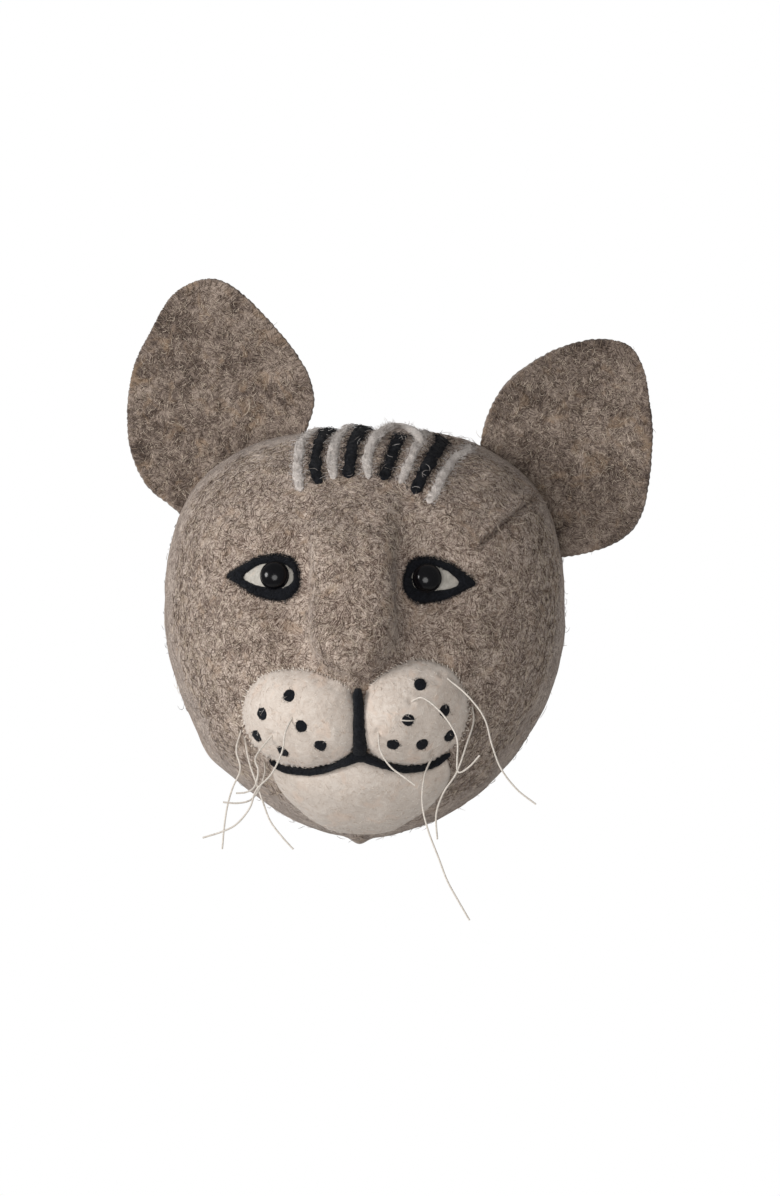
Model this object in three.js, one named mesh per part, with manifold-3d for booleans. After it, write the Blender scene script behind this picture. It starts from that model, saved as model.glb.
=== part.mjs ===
// A stuffed wool-felt head of a big cat that hangs on a wall. Millimetres, +Z up.
// The origin is the middle of the flat back, the wall is the plane y = 0 and the face looks along -Y.
// Left and right are as seen from the front, so left pieces have negative x.
import * as THREE from 'three';
import { mergeVertices } from 'three/addons/utils/BufferGeometryUtils.js';
import Module from 'manifold-3d';

const wasm = await Module();
wasm.setup();

// Head, seen from the front: a superellipse with a flatter crown and a more pointed chin.
const HEAD_HALF_WIDTH = 101;
const CROWN_RISE = 91;
const CROWN_POWER = 2.7;
const CHIN_DROP = 115;
const CHIN_POWER = 1.9;
const WIDEST_LEVEL = 12;
// Head, seen from the side: a dome in front of the widest section, tapering to the flat back behind it.
const WIDEST_DEPTH = 58;
const DOME_DEPTH = 92;
const DOME_POWER = 2.2;
const POLE = { x: -2, z: -20 };
const BACK_SCALE = 0.86;
const BACK_TAPER_POWER = 2.2;

const FELT = 3;
const GAP = 0.35;
const STUFFING_GAP = 3;
const EAR_FELT = 2.7;
const EAR_CLEARANCE = 3;
const BACK_FELT = 3;
const BOARD = 10;
const BOARD_EDGE_GAP = 2.2;

const EYE_SIDES = 16;
const EYE_RADIUS = 7.3;
const EYE_HEIGHT = 5.2;
// The eye's flange is a thin disc that stands out by a narrow step round the dome.
const FLANGE = 1.2;
const EYE_STEP = 0.8;
const EYE_STANDOFF = 1.6;
const POST_RADIUS = 2.2;
const POST_LENGTH = 15;
const WASHER_RADIUS = 8;
const WASHER_THICKNESS = 1.2;
const WASHER_DEPTH = 6.2;
const LEFT_EYE = { x: -44.5, z: 28.8, outward: -1, tilt: 0 };
const RIGHT_EYE = { x: 31, z: 27.5, outward: 1, tilt: 0.08 };

const PAD_PUFF = 10.5;
const PAD_EDGE = 2.6;
const SPOT_RADIUS = 3.1;
const STRIPE_RADIUS = 2.5;
const WHISKER_DIAMETER = 0.9;
const WHISKER_STEP = 5;
// The hanger's pivot height, its strap, and the pocket in the back that it sits in.
const HANGER = { z: 52, width: 16, plate: 1.5, top: 76, screwMiddle: 66, screwSpacing: 12 };
const POCKET = { width: 36, top: 80, bottom: 24, depth: 5 };
const POCKET_FLOOR = -BACK_FELT - POCKET.depth;
const BARREL_RADIUS = 2.7;
const BARREL_HOLE = 1.6;
const RING_WIRE = 2;
const SCREW_CLEARANCE = 0.25;
const BARREL_Y = POCKET_FLOOR + GAP + BARREL_RADIUS;

const COLUMNS = 32;
const FRONT_RINGS = [0.12, 0.24, 0.35, 0.46, 0.57, 0.68, 0.79, 0.9, 1];
const SEAM = 1.25;
const HALF_SEAM_GAP = GAP / WIDEST_DEPTH / 2;
const BACK_RINGS = [1.5, 1.75];

const GREY_FELT = { color: 0x87766a, roughness: 0.95 };
const EAR_GREY = { color: 0x74675c, roughness: 0.95 };
const CREAM_FELT = { color: 0xd3c9bc, roughness: 0.95 };
const WHITE_FELT = { color: 0xb9b5ae, roughness: 0.95 };
const BLACK_WOOL = { color: 0x14161a, roughness: 0.95 };
const LIGHT_WOOL = { color: 0xb4ada8, roughness: 0.95 };
const BLACK_PLASTIC = { color: 0x050506, roughness: 0.08 };
const STUFFING = { color: 0xe8e6e0, roughness: 1 };
const THREAD = { color: 0xe6e2d8, roughness: 0.7 };
const FIBREBOARD = { color: 0x9c7b55, roughness: 0.8 };
const STEEL = { color: 0xb8bab8, roughness: 0.35, metalness: 1 };

const object = new THREE.Group();

// ---- solids ----

function asGeometry(points, faces) {
  const geometry = new THREE.BufferGeometry();
  const numbers = points.flatMap((p) => [p.x, p.y, p.z]);
  geometry.setAttribute('position', new THREE.Float32BufferAttribute(numbers, 3));
  geometry.setIndex(faces.flat());
  return geometry;
}

// A closed solid through rings of points, with a fan over the first and the last ring.
function loft(rings, firstTip, lastTip) {
  const count = rings[0].length;
  const points = rings.flat();
  const faces = [];
  const at = (ring, column) => ring * count + (column % count);
  for (let ring = 0; ring + 1 < rings.length; ring++) {
    for (let column = 0; column < count; column++) {
      faces.push([at(ring, column), at(ring, column + 1), at(ring + 1, column)]);
      faces.push([at(ring, column + 1), at(ring + 1, column + 1), at(ring + 1, column)]);
    }
  }
  points.push(firstTip, lastTip);
  for (let column = 0; column < count; column++) {
    faces.push([points.length - 2, at(0, column + 1), at(0, column)]);
    faces.push([points.length - 1, at(rings.length - 1, column), at(rings.length - 1, column + 1)]);
  }
  return facingOut(asGeometry(points, faces));
}

// A closed ring-shaped solid: the last ring of points joins the first.
function loop(rings) {
  const count = rings[0].length;
  const faces = [];
  const at = (ring, column) => (ring % rings.length) * count + (column % count);
  for (let ring = 0; ring < rings.length; ring++) {
    for (let column = 0; column < count; column++) {
      faces.push([at(ring, column), at(ring, column + 1), at(ring + 1, column)]);
      faces.push([at(ring, column + 1), at(ring + 1, column + 1), at(ring + 1, column)]);
    }
  }
  return facingOut(asGeometry(rings.flat(), faces));
}

function facingOut(geometry) {
  const position = geometry.attributes.position;
  const index = geometry.index;
  const corner = (n) => new THREE.Vector3().fromBufferAttribute(position, index.getX(n));
  let volume = 0;
  for (let n = 0; n < index.count; n += 3) {
    volume += corner(n).dot(corner(n + 1).cross(corner(n + 2)));
  }
  if (volume < 0) {
    for (let n = 0; n < index.count; n += 3) {
      const first = index.getX(n);
      index.setX(n, index.getX(n + 1));
      index.setX(n + 1, first);
    }
  }
  return geometry;
}

function merged(geometry) {
  const bare = geometry.clone();
  bare.deleteAttribute('normal');
  bare.deleteAttribute('uv');
  return mergeVertices(bare, 1e-4);
}

function toManifold(geometry) {
  const bare = merged(geometry);
  const vertProperties = new Float32Array(bare.attributes.position.array);
  const triVerts = new Uint32Array(bare.index.array);
  return new wasm.Manifold(new wasm.Mesh({ numProp: 3, vertProperties, triVerts }));
}

function fromManifold(solid) {
  const mesh = solid.getMesh();
  const geometry = new THREE.BufferGeometry();
  geometry.setAttribute('position', new THREE.BufferAttribute(new Float32Array(mesh.vertProperties), 3));
  geometry.setIndex(new THREE.BufferAttribute(new Uint32Array(mesh.triVerts), 1));
  return geometry;
}

function cut(geometry, ...cutters) {
  let solid = toManifold(geometry);
  for (const cutter of cutters) {
    solid = solid.subtract(toManifold(cutter));
  }
  return fromManifold(solid);
}

// The same solid, larger all round by the given distance.
function grown(geometry, distance) {
  const larger = merged(geometry);
  larger.computeVertexNormals();
  const { position, normal } = larger.attributes;
  for (let n = 0; n < position.count; n++) {
    position.setXYZ(
      n,
      position.getX(n) + distance * normal.getX(n),
      position.getY(n) + distance * normal.getY(n),
      position.getZ(n) + distance * normal.getZ(n),
    );
  }
  return larger;
}

function add(name, geometry, finish) {
  const mesh = new THREE.Mesh(geometry, new THREE.MeshStandardMaterial(finish));
  mesh.name = name;
  object.add(mesh);
  return mesh;
}

// ---- the head's surface ----

const clamp = THREE.MathUtils.clamp;
const smoothstep = THREE.MathUtils.smoothstep;
const lerp = THREE.MathUtils.lerp;

// Distance from the middle of the widest section to its outline, in one direction.
function outlineRadius(angle) {
  const across = Math.abs(Math.cos(angle)) / HEAD_HALF_WIDTH;
  const up = Math.abs(Math.sin(angle)) / (Math.sin(angle) > 0 ? CROWN_RISE : CHIN_DROP);
  const power = Math.sin(angle) > 0 ? CROWN_POWER : CHIN_POWER;
  return (across ** power + up ** power) ** (-1 / power);
}

function hill(x, z, centreX, centreZ, halfWidth, halfHeight) {
  const away = ((x - centreX) / halfWidth) ** 2 + ((z - centreZ) / halfHeight) ** 2;
  return away < 1 ? (1 - away) ** 2 : 0;
}

// The nose is a broad flat ridge that runs down from the forehead and ends in a V between the muzzle pads.
function noseRidge(x, z) {
  const halfWidth = lerp(4, 21, clamp((z + 28) / 24, 0, 1));
  const side = 1 - smoothstep(Math.abs(x + 6), 0.6 * halfWidth, halfWidth + 5);
  const height = lerp(13, 7, clamp((z + 10) / 80, 0, 1));
  return height * side * smoothstep(z, -34, -22) * (1 - smoothstep(z, 48, 88));
}

// How far the face stands in front of the plain dome.
function relief(x, z) {
  const muzzle = 9 * hill(x, z, -3, -42, 78, 52);
  const cheeks = 4 * (hill(x, z, -66, -22, 40, 46) + hill(x, z, 62, -22, 40, 46));
  const leftSocket = 6 * hill(x, z, LEFT_EYE.x, LEFT_EYE.z, 34, 26);
  const rightSocket = 6 * hill(x, z, RIGHT_EYE.x, RIGHT_EYE.z, 34, 26);
  return noseRidge(x, z) + muzzle + cheeks - leftSocket - rightSocket;
}

// Inside the skin the raised features are only half as high, so the felt is thickest there.
function innerRelief(x, z) {
  const outer = relief(x, z);
  return Math.min(outer, outer / 2);
}

// A point of the head: the stretch is 0 at the front pole, 1 at the widest section and 2 at the flat back.
function headPoint(angle, stretch, raised = relief) {
  const front = Math.min(stretch, 1) * Math.PI / 2;
  const behind = Math.max(stretch - 1, 0);
  const dome = Math.sin(front) ** (2 / DOME_POWER);
  const scale = dome * (1 - (1 - BACK_SCALE) * behind ** BACK_TAPER_POWER);
  const bulge = stretch < 1 ? Math.cos(front) ** (2 / DOME_POWER) : 0;
  const shift = stretch < 1 ? dome : 1;
  const x = lerp(POLE.x, 0, shift) + scale * outlineRadius(angle) * Math.cos(angle);
  const z = lerp(POLE.z, WIDEST_LEVEL, shift) + scale * outlineRadius(angle) * Math.sin(angle);
  const depth = WIDEST_DEPTH * (1 - behind) + DOME_DEPTH * bulge;
  return new THREE.Vector3(x, -depth - raised(x, z) * smoothstep(bulge, 0, 0.4), z);
}

// The scale of the dome's ring through a point of the front view, and the point's direction on it.
function ringThrough(x, z) {
  let low = 0;
  let high = 1;
  for (let step = 0; step < 40; step++) {
    const middle = (low + high) / 2;
    const dx = x - lerp(POLE.x, 0, middle);
    const dz = z - lerp(POLE.z, WIDEST_LEVEL, middle);
    if (Math.hypot(dx, dz) > middle * outlineRadius(Math.atan2(dz, dx))) {
      low = middle;
    } else {
      high = middle;
    }
  }
  const angle = Math.atan2(z - lerp(POLE.z, WIDEST_LEVEL, low), x - lerp(POLE.x, 0, low));
  return { scale: low, angle };
}

function faceY(x, z, raised = relief) {
  const bulge = (1 - ringThrough(x, z).scale ** DOME_POWER) ** (1 / DOME_POWER);
  return -WIDEST_DEPTH - DOME_DEPTH * bulge - raised(x, z) * smoothstep(bulge, 0, 0.4);
}

function facePoint(x, z, proud = 0) {
  return new THREE.Vector3(x, faceY(x, z) - proud, z);
}

function headNormal(angle, stretch, raised = relief) {
  const step = 0.004;
  const around = headPoint(angle + step, stretch, raised).sub(headPoint(angle - step, stretch, raised));
  const ahead = Math.min(stretch + step, 2);
  const along = headPoint(angle, ahead, raised).sub(headPoint(angle, ahead - 2 * step, raised));
  return along.cross(around).normalize();
}

function faceNormal(x, z) {
  const step = 0.5;
  const slopeX = (faceY(x + step, z) - faceY(x - step, z)) / (2 * step);
  const slopeZ = (faceY(x, z + step) - faceY(x, z - step)) / (2 * step);
  return new THREE.Vector3(slopeX, -1, slopeZ).normalize();
}

function headRing(stretch, inset) {
  const raised = inset > 0 ? innerRelief : relief;
  return Array.from({ length: COLUMNS }, (_, column) => {
    const angle = (column / COLUMNS) * 2 * Math.PI;
    return headPoint(angle, stretch, raised).addScaledVector(headNormal(angle, stretch, raised), -inset);
  });
}

function headTip(inset) {
  return new THREE.Vector3(POLE.x, faceY(POLE.x, POLE.z, inset > 0 ? innerRelief : relief) + inset, POLE.z);
}

function flatRing(scale, y) {
  return Array.from({ length: COLUMNS }, (_, column) => {
    const point = headPoint((column / COLUMNS) * 2 * Math.PI, 2);
    return new THREE.Vector3(point.x * scale, y, (point.z - WIDEST_LEVEL) * scale + WIDEST_LEVEL);
  });
}

function headSolid(inset, backY) {
  const rings = [...FRONT_RINGS, SEAM, ...BACK_RINGS].map((stretch) => headRing(stretch, inset));
  const rear = flatRing(1 - inset / HEAD_HALF_WIDTH, backY);
  return loft([...rings, rear], headTip(inset), new THREE.Vector3(0, backY, WIDEST_LEVEL));
}

const headCutter = headSolid(-GAP, 0);

// ---- pieces inside and behind the head ----

function eyeAxis(eye) {
  const normal = faceNormal(eye.x, eye.z);
  return new THREE.Vector3(normal.x / 2, -1, normal.z / 2).normalize();
}

// Turns a shape made along +Y from the origin so that it points out of the face at an eye.
function placeAtEye(geometry, eye, depth) {
  const axis = eyeAxis(eye);
  const turn = new THREE.Quaternion().setFromUnitVectors(new THREE.Vector3(0, 1, 0), axis);
  const place = facePoint(eye.x, eye.z).addScaledVector(axis, -depth);
  return geometry.clone().applyQuaternion(turn).translate(place.x, place.y, place.z);
}

// A safety eye: a post, a thin flange and a dome with a narrow step round it.
function safetyEye(extra) {
  const profile = [
    new THREE.Vector2(0, -POST_LENGTH - extra),
    new THREE.Vector2(POST_RADIUS + extra, -POST_LENGTH - extra),
    new THREE.Vector2(POST_RADIUS + extra, -extra),
    new THREE.Vector2(EYE_RADIUS + extra, -extra),
    new THREE.Vector2(EYE_RADIUS + extra, FLANGE + extra),
  ];
  const steps = 4;
  for (let step = 0; step < steps; step++) {
    const turn = (step / steps) * Math.PI / 2;
    const radius = (EYE_RADIUS - EYE_STEP + extra) * Math.cos(turn);
    const height = FLANGE + 0.1 + extra + (EYE_HEIGHT - FLANGE - 0.1) * Math.sin(turn);
    profile.push(new THREE.Vector2(radius, height));
  }
  profile.push(new THREE.Vector2(0, EYE_HEIGHT + extra));
  return facingOut(merged(new THREE.LatheGeometry(profile, EYE_SIDES)));
}

function washer(extra) {
  const hole = POST_RADIUS + GAP - extra;
  const profile = [
    new THREE.Vector2(hole, -extra),
    new THREE.Vector2(WASHER_RADIUS + extra, -extra),
    new THREE.Vector2(WASHER_RADIUS + extra, WASHER_THICKNESS + extra),
    new THREE.Vector2(hole, WASHER_THICKNESS + extra),
    new THREE.Vector2(hole, -extra),
  ];
  return facingOut(merged(new THREE.LatheGeometry(profile, EYE_SIDES)));
}

const EYES = { left: LEFT_EYE, right: RIGHT_EYE };
const eyeCutters = Object.values(EYES).map((eye) => placeAtEye(safetyEye(GAP), eye, -EYE_STANDOFF));
const washerCutters = Object.values(EYES).map((eye) => placeAtEye(washer(GAP), eye, WASHER_DEPTH));

// The skin is two panels of felt, sewn together along the seam that also holds the ears.
function faceSkin() {
  const stretches = [...FRONT_RINGS, SEAM - HALF_SEAM_GAP];
  const outer = stretches.map((stretch) => headRing(stretch, 0));
  const inner = stretches.map((stretch) => headRing(stretch, FELT)).reverse();
  return cut(loft([...outer, ...inner], headTip(0), headTip(FELT)), ...eyeCutters);
}

function rearSkin() {
  const stretches = [SEAM + HALF_SEAM_GAP, ...BACK_RINGS];
  const outer = stretches.map((stretch) => headRing(stretch, 0));
  const inner = stretches.map((stretch) => headRing(stretch, FELT)).reverse();
  const rearY = -BACK_FELT - GAP;
  return loop([...outer, flatRing(1, rearY), flatRing(1 - FELT / HEAD_HALF_WIDTH, rearY), ...inner]);
}

function stuffing() {
  const inset = FELT + STUFFING_GAP;
  const core = headSolid(inset, -BACK_FELT - BOARD - 3 * GAP);
  return cut(core, ...eyeCutters, ...washerCutters);
}

function plateFromRing(scale, frontY, backY) {
  const middle = WIDEST_LEVEL;
  return loft(
    [flatRing(scale, frontY), flatRing(scale, backY)],
    new THREE.Vector3(0, frontY, middle),
    new THREE.Vector3(0, backY, middle),
  );
}

function box(width, depth, height, x, y, z) {
  return new THREE.BoxGeometry(width, depth, height).translate(x, y, z);
}

// The pocket in the back that holds the hanger, open at the wall side.
function hangerPocket(depth) {
  const middle = (POCKET.top + POCKET.bottom) / 2;
  return box(POCKET.width, 2 * depth, POCKET.top - POCKET.bottom, 0, 0, middle);
}

function backBoard() {
  const scale = 1 - (FELT + BOARD_EDGE_GAP) / HEAD_HALF_WIDTH;
  const frontY = -BACK_FELT - BOARD - GAP;
  const board = plateFromRing(scale, frontY, -BACK_FELT - GAP);
  return cut(board, hangerPocket(BACK_FELT + POCKET.depth), ...screwHoles);
}

function backFelt() {
  return cut(plateFromRing(1, -BACK_FELT, 0), hangerPocket(BACK_FELT + 1));
}

// ---- wall hanger ----

// A flat strap screwed to the pocket floor, its lower end rolled round the ring's bar.
function hangerPlate() {
  const strapY = POCKET_FLOOR + GAP + HANGER.plate / 2;
  const length = HANGER.top - HANGER.z;
  const strap = box(HANGER.width, HANGER.plate, length, 0, strapY, HANGER.z + length / 2);
  const barrel = new THREE.CylinderGeometry(BARREL_RADIUS, BARREL_RADIUS, HANGER.width, 14);
  barrel.rotateZ(Math.PI / 2).translate(0, BARREL_Y, HANGER.z);
  const bore = new THREE.CylinderGeometry(BARREL_HOLE, BARREL_HOLE, HANGER.width + 2, 12);
  bore.rotateZ(Math.PI / 2).translate(0, BARREL_Y, HANGER.z);
  const joined = fromManifold(toManifold(strap).add(toManifold(barrel)));
  return cut(joined, bore, ...screwHoles);
}

// The ring is a trapezium of wire whose upper bar turns in the barrel. It hangs down when it's free.
function hangerRing() {
  const wire = RING_WIRE / 2;
  const outer = [[-11, wire], [-7.5, -21], [7.5, -21], [11, wire]];
  const inner = [[-9, -wire], [9, -wire], [5.8, -19], [-5.8, -19]];
  const outline = new THREE.Shape(outer.map(([x, z]) => new THREE.Vector2(x, z)));
  outline.holes.push(new THREE.Path(inner.map(([x, z]) => new THREE.Vector2(x, z))));
  const ring = new THREE.ExtrudeGeometry(outline, { depth: RING_WIRE, bevelEnabled: false });
  return ring.rotateX(Math.PI / 2).translate(0, BARREL_Y + wire, HANGER.z);
}

// A countersunk screw, flush with the strap, that goes on into the board.
function screwAt(side, extra) {
  const z = HANGER.screwMiddle + side * HANGER.screwSpacing / 2;
  const strapY = POCKET_FLOOR + GAP + HANGER.plate;
  const shank = 1.2 + extra;
  const head = 2.6 + extra;
  const top = extra * 4 - 0.05;
  const profile = [
    new THREE.Vector2(0, -6 - extra),
    new THREE.Vector2(shank, -5 - extra),
    new THREE.Vector2(shank, -1.4),
    new THREE.Vector2(head, -0.3),
    new THREE.Vector2(head, top),
    new THREE.Vector2(0, top),
  ];
  const screw = new THREE.LatheGeometry(profile, 10);
  return facingOut(merged(screw)).translate(0, strapY, z);
}

const screwHoles = [-1, 1].map((side) => screwAt(side, SCREW_CLEARANCE));

// ---- outlines on the face ----

function spline(points, count) {
  const corners = points.map(([x, z]) => new THREE.Vector3(x, 0, z));
  const curve = new THREE.CatmullRomCurve3(corners, true, 'centripetal');
  return curve.getSpacedPoints(count).slice(0, count).map((p) => [p.x, p.z]);
}

function middleOf(outline) {
  const sum = outline.reduce(([x, z], p) => [x + p[0], z + p[1]], [0, 0]);
  return [sum[0] / outline.length, sum[1] / outline.length];
}

function scaled(outline, factor, [x, z] = middleOf(outline)) {
  return outline.map((p) => [x + (p[0] - x) * factor, z + (p[1] - z) * factor]);
}

function widened(outline, distance) {
  const [x, z] = middleOf(outline);
  const radius = outline.reduce((sum, p) => sum + Math.hypot(p[0] - x, p[1] - z), 0) / outline.length;
  return scaled(outline, 1 + distance / radius);
}

// A patch that lies on the face: its front stands proud by a profile from rim (1) to middle (0).
function patch(outline, proud, sunk, levels = [1, 0.88, 0.62, 0.3]) {
  const [x, z] = middleOf(outline);
  const ringAt = (factor, lift) => scaled(outline, factor).map((p) => facePoint(p[0], p[1], lift));
  const front = levels.map((level) => ringAt(level, proud(level))).reverse();
  const back = levels.map((level) => ringAt(level, -sunk));
  return loft([...front, ...back], facePoint(x, z, proud(0)), facePoint(x, z, -sunk));
}

const padProfile = (level) => PAD_EDGE + PAD_PUFF * Math.max(1 - level ** 2, 0) ** 0.75;

const LEFT_PAD = spline([
  [-6, -28.5], [-19, -20], [-36, -16.5], [-53, -21], [-61.8, -38],
  [-56, -55], [-42, -65], [-24, -66.8], [-6, -58.5],
], 22);
const RIGHT_PAD = spline([
  [0, -28.5], [11, -17.5], [26, -12], [43, -17], [52, -33],
  [49, -51], [36, -62.5], [20, -66], [1.5, -58.5],
], 22);
const CHIN = spline([
  [-46, -70.5], [-37, -82], [-17, -97], [-3, -100], [13, -96], [33, -83], [43, -69],
  [33, -71], [20, -72.5], [8, -70], [-2, -66], [-14, -71.5], [-27, -74], [-38, -73],
], 28);
const CHIN_LEVELS = [1, 0.85, 0.55, 0.25];
const PADS = { left: LEFT_PAD, right: RIGHT_PAD };

function pad(outline, extra = 0) {
  return patch(widened(outline, extra), (level) => padProfile(level) + extra, 2);
}

// The filling sits in a hollow of the pad's cover that opens towards the face.
function padHollow(outline, extra) {
  const profile = (level) => padProfile(level) - FELT - 0.6 + extra;
  return patch(scaled(outline, 0.74 + extra / 50), profile, 4 - extra, [1, 0.7, 0.35]);
}

function padCover(outline) {
  return cut(pad(outline), padHollow(outline, GAP), headCutter);
}

function padFilling(outline) {
  return cut(padHollow(outline, 0), headCutter);
}

function chinPatch() {
  const profile = (level) => 2.4 + 2.2 * (1 - level ** 2);
  return cut(patch(CHIN, profile, 2, CHIN_LEVELS), headCutter);
}

// ---- rolls of black and white wool ----

const ROLL_SIDES = 8;

// A round tube along a curve through the points.
function roll(points, radius, steps) {
  const corners = Array.from({ length: ROLL_SIDES }, (_, side) => {
    const angle = ((side + 0.5) / ROLL_SIDES) * 2 * Math.PI;
    return new THREE.Vector2(radius * Math.cos(angle), radius * Math.sin(angle));
  });
  const extrudePath = new THREE.CatmullRomCurve3(points, false, 'centripetal');
  return new THREE.ExtrudeGeometry(new THREE.Shape(corners), { steps, bevelEnabled: false, extrudePath });
}

const WOOL_GAP = 0.5;
const padCutters = Object.values(PADS).map((outline) => pad(outline, WOOL_GAP));
const chinCutter = grown(patch(CHIN, () => 6, 3, CHIN_LEVELS), WOOL_GAP);

function philtrum() {
  const route = [[-3, -28.5], [-3, -38], [-2.6, -48], [-2.3, -55]].map(([x, z]) => facePoint(x, z, 3));
  return cut(roll(route, 4.4, 6), headCutter, ...padCutters);
}

// The mouth line runs in the channel under the pads and over the chin patch, and tapers to both ends.
function mouthLine() {
  const route = [
    [-47, -65.5], [-36, -69.2], [-26.5, -70], [-14.5, -68], [-2.2, -61.4],
    [9, -66.6], [20.5, -69], [33, -67.5], [43.5, -62],
  ].map(([x, z]) => facePoint(x, z, 0.6));
  const curve = new THREE.CatmullRomCurve3(route, false, 'centripetal');
  const steps = 16;
  const rings = Array.from({ length: steps + 1 }, (_, step) => {
    const along = step / steps;
    const half = 1.5 + 1.6 * Math.sin(Math.PI * along) ** 2;
    const middle = curve.getPointAt(along);
    const ahead = curve.getTangentAt(along);
    const up = new THREE.Vector3(0, -1, 0).cross(ahead).normalize();
    return Array.from({ length: ROLL_SIDES }, (_, side) => {
      const angle = (side / ROLL_SIDES) * 2 * Math.PI;
      const point = middle.clone().addScaledVector(up, half * Math.cos(angle));
      point.y -= 2.6 * Math.sin(angle);
      return point;
    });
  });
  const line = loft(rings, curve.getPointAt(0), curve.getPointAt(1));
  return cut(line, headCutter, ...padCutters, chinCutter);
}

// Each stripe: its lower end in the front view, its upper end's x, and how far over the crown it goes.
const STRIPES = [
  { finish: LIGHT_WOOL, x: -32.5, z: 71, topX: -30, over: 1.12 },
  { finish: BLACK_WOOL, x: -23, z: 74, topX: -20, over: 1.08 },
  { finish: LIGHT_WOOL, x: -15.5, z: 76.5, topX: -11, over: 1.12 },
  { finish: BLACK_WOOL, x: -7.5, z: 77.5, topX: -1.5, over: 1.08 },
  { finish: LIGHT_WOOL, x: 1, z: 78, topX: 9, over: 1.16 },
  { finish: BLACK_WOOL, x: 9.5, z: 77.5, topX: 18.5, over: 1.06 },
  { finish: LIGHT_WOOL, x: 17.5, z: 76, topX: 28, over: 1.12 },
  { finish: BLACK_WOOL, x: 26, z: 71, topX: 39.5, over: 1.06 },
  { finish: LIGHT_WOOL, x: 33, z: 66, topX: 50, over: 1.08 },
];

function stripe({ x, z, topX, over }) {
  const start = ringThrough(x, z);
  const startStretch = Math.asin(start.scale ** (DOME_POWER / 2)) / (Math.PI / 2);
  const rise = CROWN_RISE * (1 - Math.abs(topX / HEAD_HALF_WIDTH) ** CROWN_POWER) ** (1 / CROWN_POWER);
  const endAngle = Math.atan2(rise, topX);
  const steps = 6;
  const points = Array.from({ length: steps + 1 }, (_, step) => {
    const along = step / steps;
    const angle = lerp(start.angle, endAngle, along);
    const stretch = lerp(startStretch, over, along);
    return headPoint(angle, stretch).addScaledVector(headNormal(angle, stretch), 0.8);
  });
  return cut(roll(points, STRIPE_RADIUS, 7), headCutter);
}

// ---- eyes ----

// Almond outline about the middle of an eye whose outer corner points to -x.
const ALMOND = spline([
  [-24, 0], [-17.5, 5.2], [-9.5, 9.3], [1, 10.9], [9.5, 8.3],
  [12.2, 1], [11.6, -7], [4, -12.6], [-9.5, -9.8], [-18, -4.4],
], 20);
const EYE_OPENING = 0.68;

function almondAt(eye, factor) {
  const turn = -eye.tilt;
  return scaled(ALMOND, factor, [-2, -1]).map(([x, z]) => {
    const across = x * -eye.outward;
    return [
      eye.x + across * Math.cos(turn) - z * Math.sin(turn),
      eye.z + across * Math.sin(turn) + z * Math.cos(turn),
    ];
  });
}

function eyeWhite(eye, cutter) {
  const white = patch(almondAt(eye, EYE_OPENING - 0.03), () => 1.4, 2, [1, 0.6, 0.3]);
  return cut(white, cutter, headCutter);
}

function eyeOutline(eye, cutter) {
  const edge = (factor, lift) => almondAt(eye, factor).map(([x, z]) => facePoint(x, z, lift));
  const rings = [
    edge(1, -2), edge(1, 0.9), edge(0.92, 1.7),
    edge(0.78, 1.7), edge(EYE_OPENING, 1.5), edge(EYE_OPENING, -2),
  ];
  return cut(loop(rings), cutter, headCutter);
}

// ---- whisker spots ----

// The front of a pad at a place in the front view.
function padY(outline, x, z) {
  const [middleX, middleZ] = middleOf(outline);
  const towards = new THREE.Vector2(x - middleX, z - middleZ);
  const arms = outline.map((p) => new THREE.Vector2(p[0] - middleX, p[1] - middleZ));
  const along = (arm) => arm.dot(towards) / arm.length();
  const nearest = arms.reduce((best, arm) => (along(arm) > along(best) ? arm : best));
  return faceY(x, z) - padProfile(Math.min(towards.length() / nearest.length(), 1));
}

const SPOTS = {
  left: [[-37.5, -30.5], [-51, -39.5], [-53.5, -50.5], [-31.5, -45.5], [-22, -55], [-40.5, -58]],
  right: [[27.5, -25], [39.5, -38], [21.5, -42.5], [14, -54.5], [28.5, -54.5], [42, -50.5]],
};

function spot(outline, x, z, cutter) {
  const step = 1.5;
  const slopeX = (padY(outline, x + step, z) - padY(outline, x - step, z)) / (2 * step);
  const slopeZ = (padY(outline, x, z + step) - padY(outline, x, z - step)) / (2 * step);
  const normal = new THREE.Vector3(slopeX, -1, slopeZ).normalize();
  const lens = new THREE.SphereGeometry(1, 10, 4).scale(SPOT_RADIUS, 1.7, SPOT_RADIUS);
  lens.applyQuaternion(new THREE.Quaternion().setFromUnitVectors(new THREE.Vector3(0, 1, 0), normal));
  lens.translate(x, padY(outline, x, z), z);
  return cut(lens, cutter);
}

// ---- ears ----

const LEFT_EAR = spline([
  [-95, 62], [-110.5, 75.5], [-119, 99], [-115, 132], [-107, 151], [-94, 171],
  [-78.5, 178.5], [-66.5, 174.5], [-40, 148], [-29, 131], [-25.5, 116], [-30, 100], [-40, 70], [-75, 45],
], 26);
const RIGHT_EAR = spline([
  [58, 95], [62, 110.5], [70, 124], [85.5, 137], [100.5, 144.5], [118, 148],
  [131, 144.5], [138, 134], [143, 117], [144.5, 97.5], [138.5, 60], [128, 47.5], [103, 39], [80, 40], [60, 62],
], 26);
const EARS = {
  left: { outline: LEFT_EAR, base: [-65.3, 87], along: [0.857, 0.515], cup: 4, y: -42 },
  right: { outline: RIGHT_EAR, base: [83, 72], along: [0.67, -0.742], cup: 9, y: -42 },
};

// An ear is a sheet that leans back a little towards its tip and curls forward along both sides.
function earY(ear, x, z) {
  const dx = x - ear.base[0];
  const dz = z - ear.base[1];
  const across = (dx * ear.along[0] + dz * ear.along[1]) / 50;
  const height = (-dx * ear.along[1] + dz * ear.along[0]) / 100;
  return ear.y + 5 * height - ear.cup * across ** 2;
}

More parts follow.
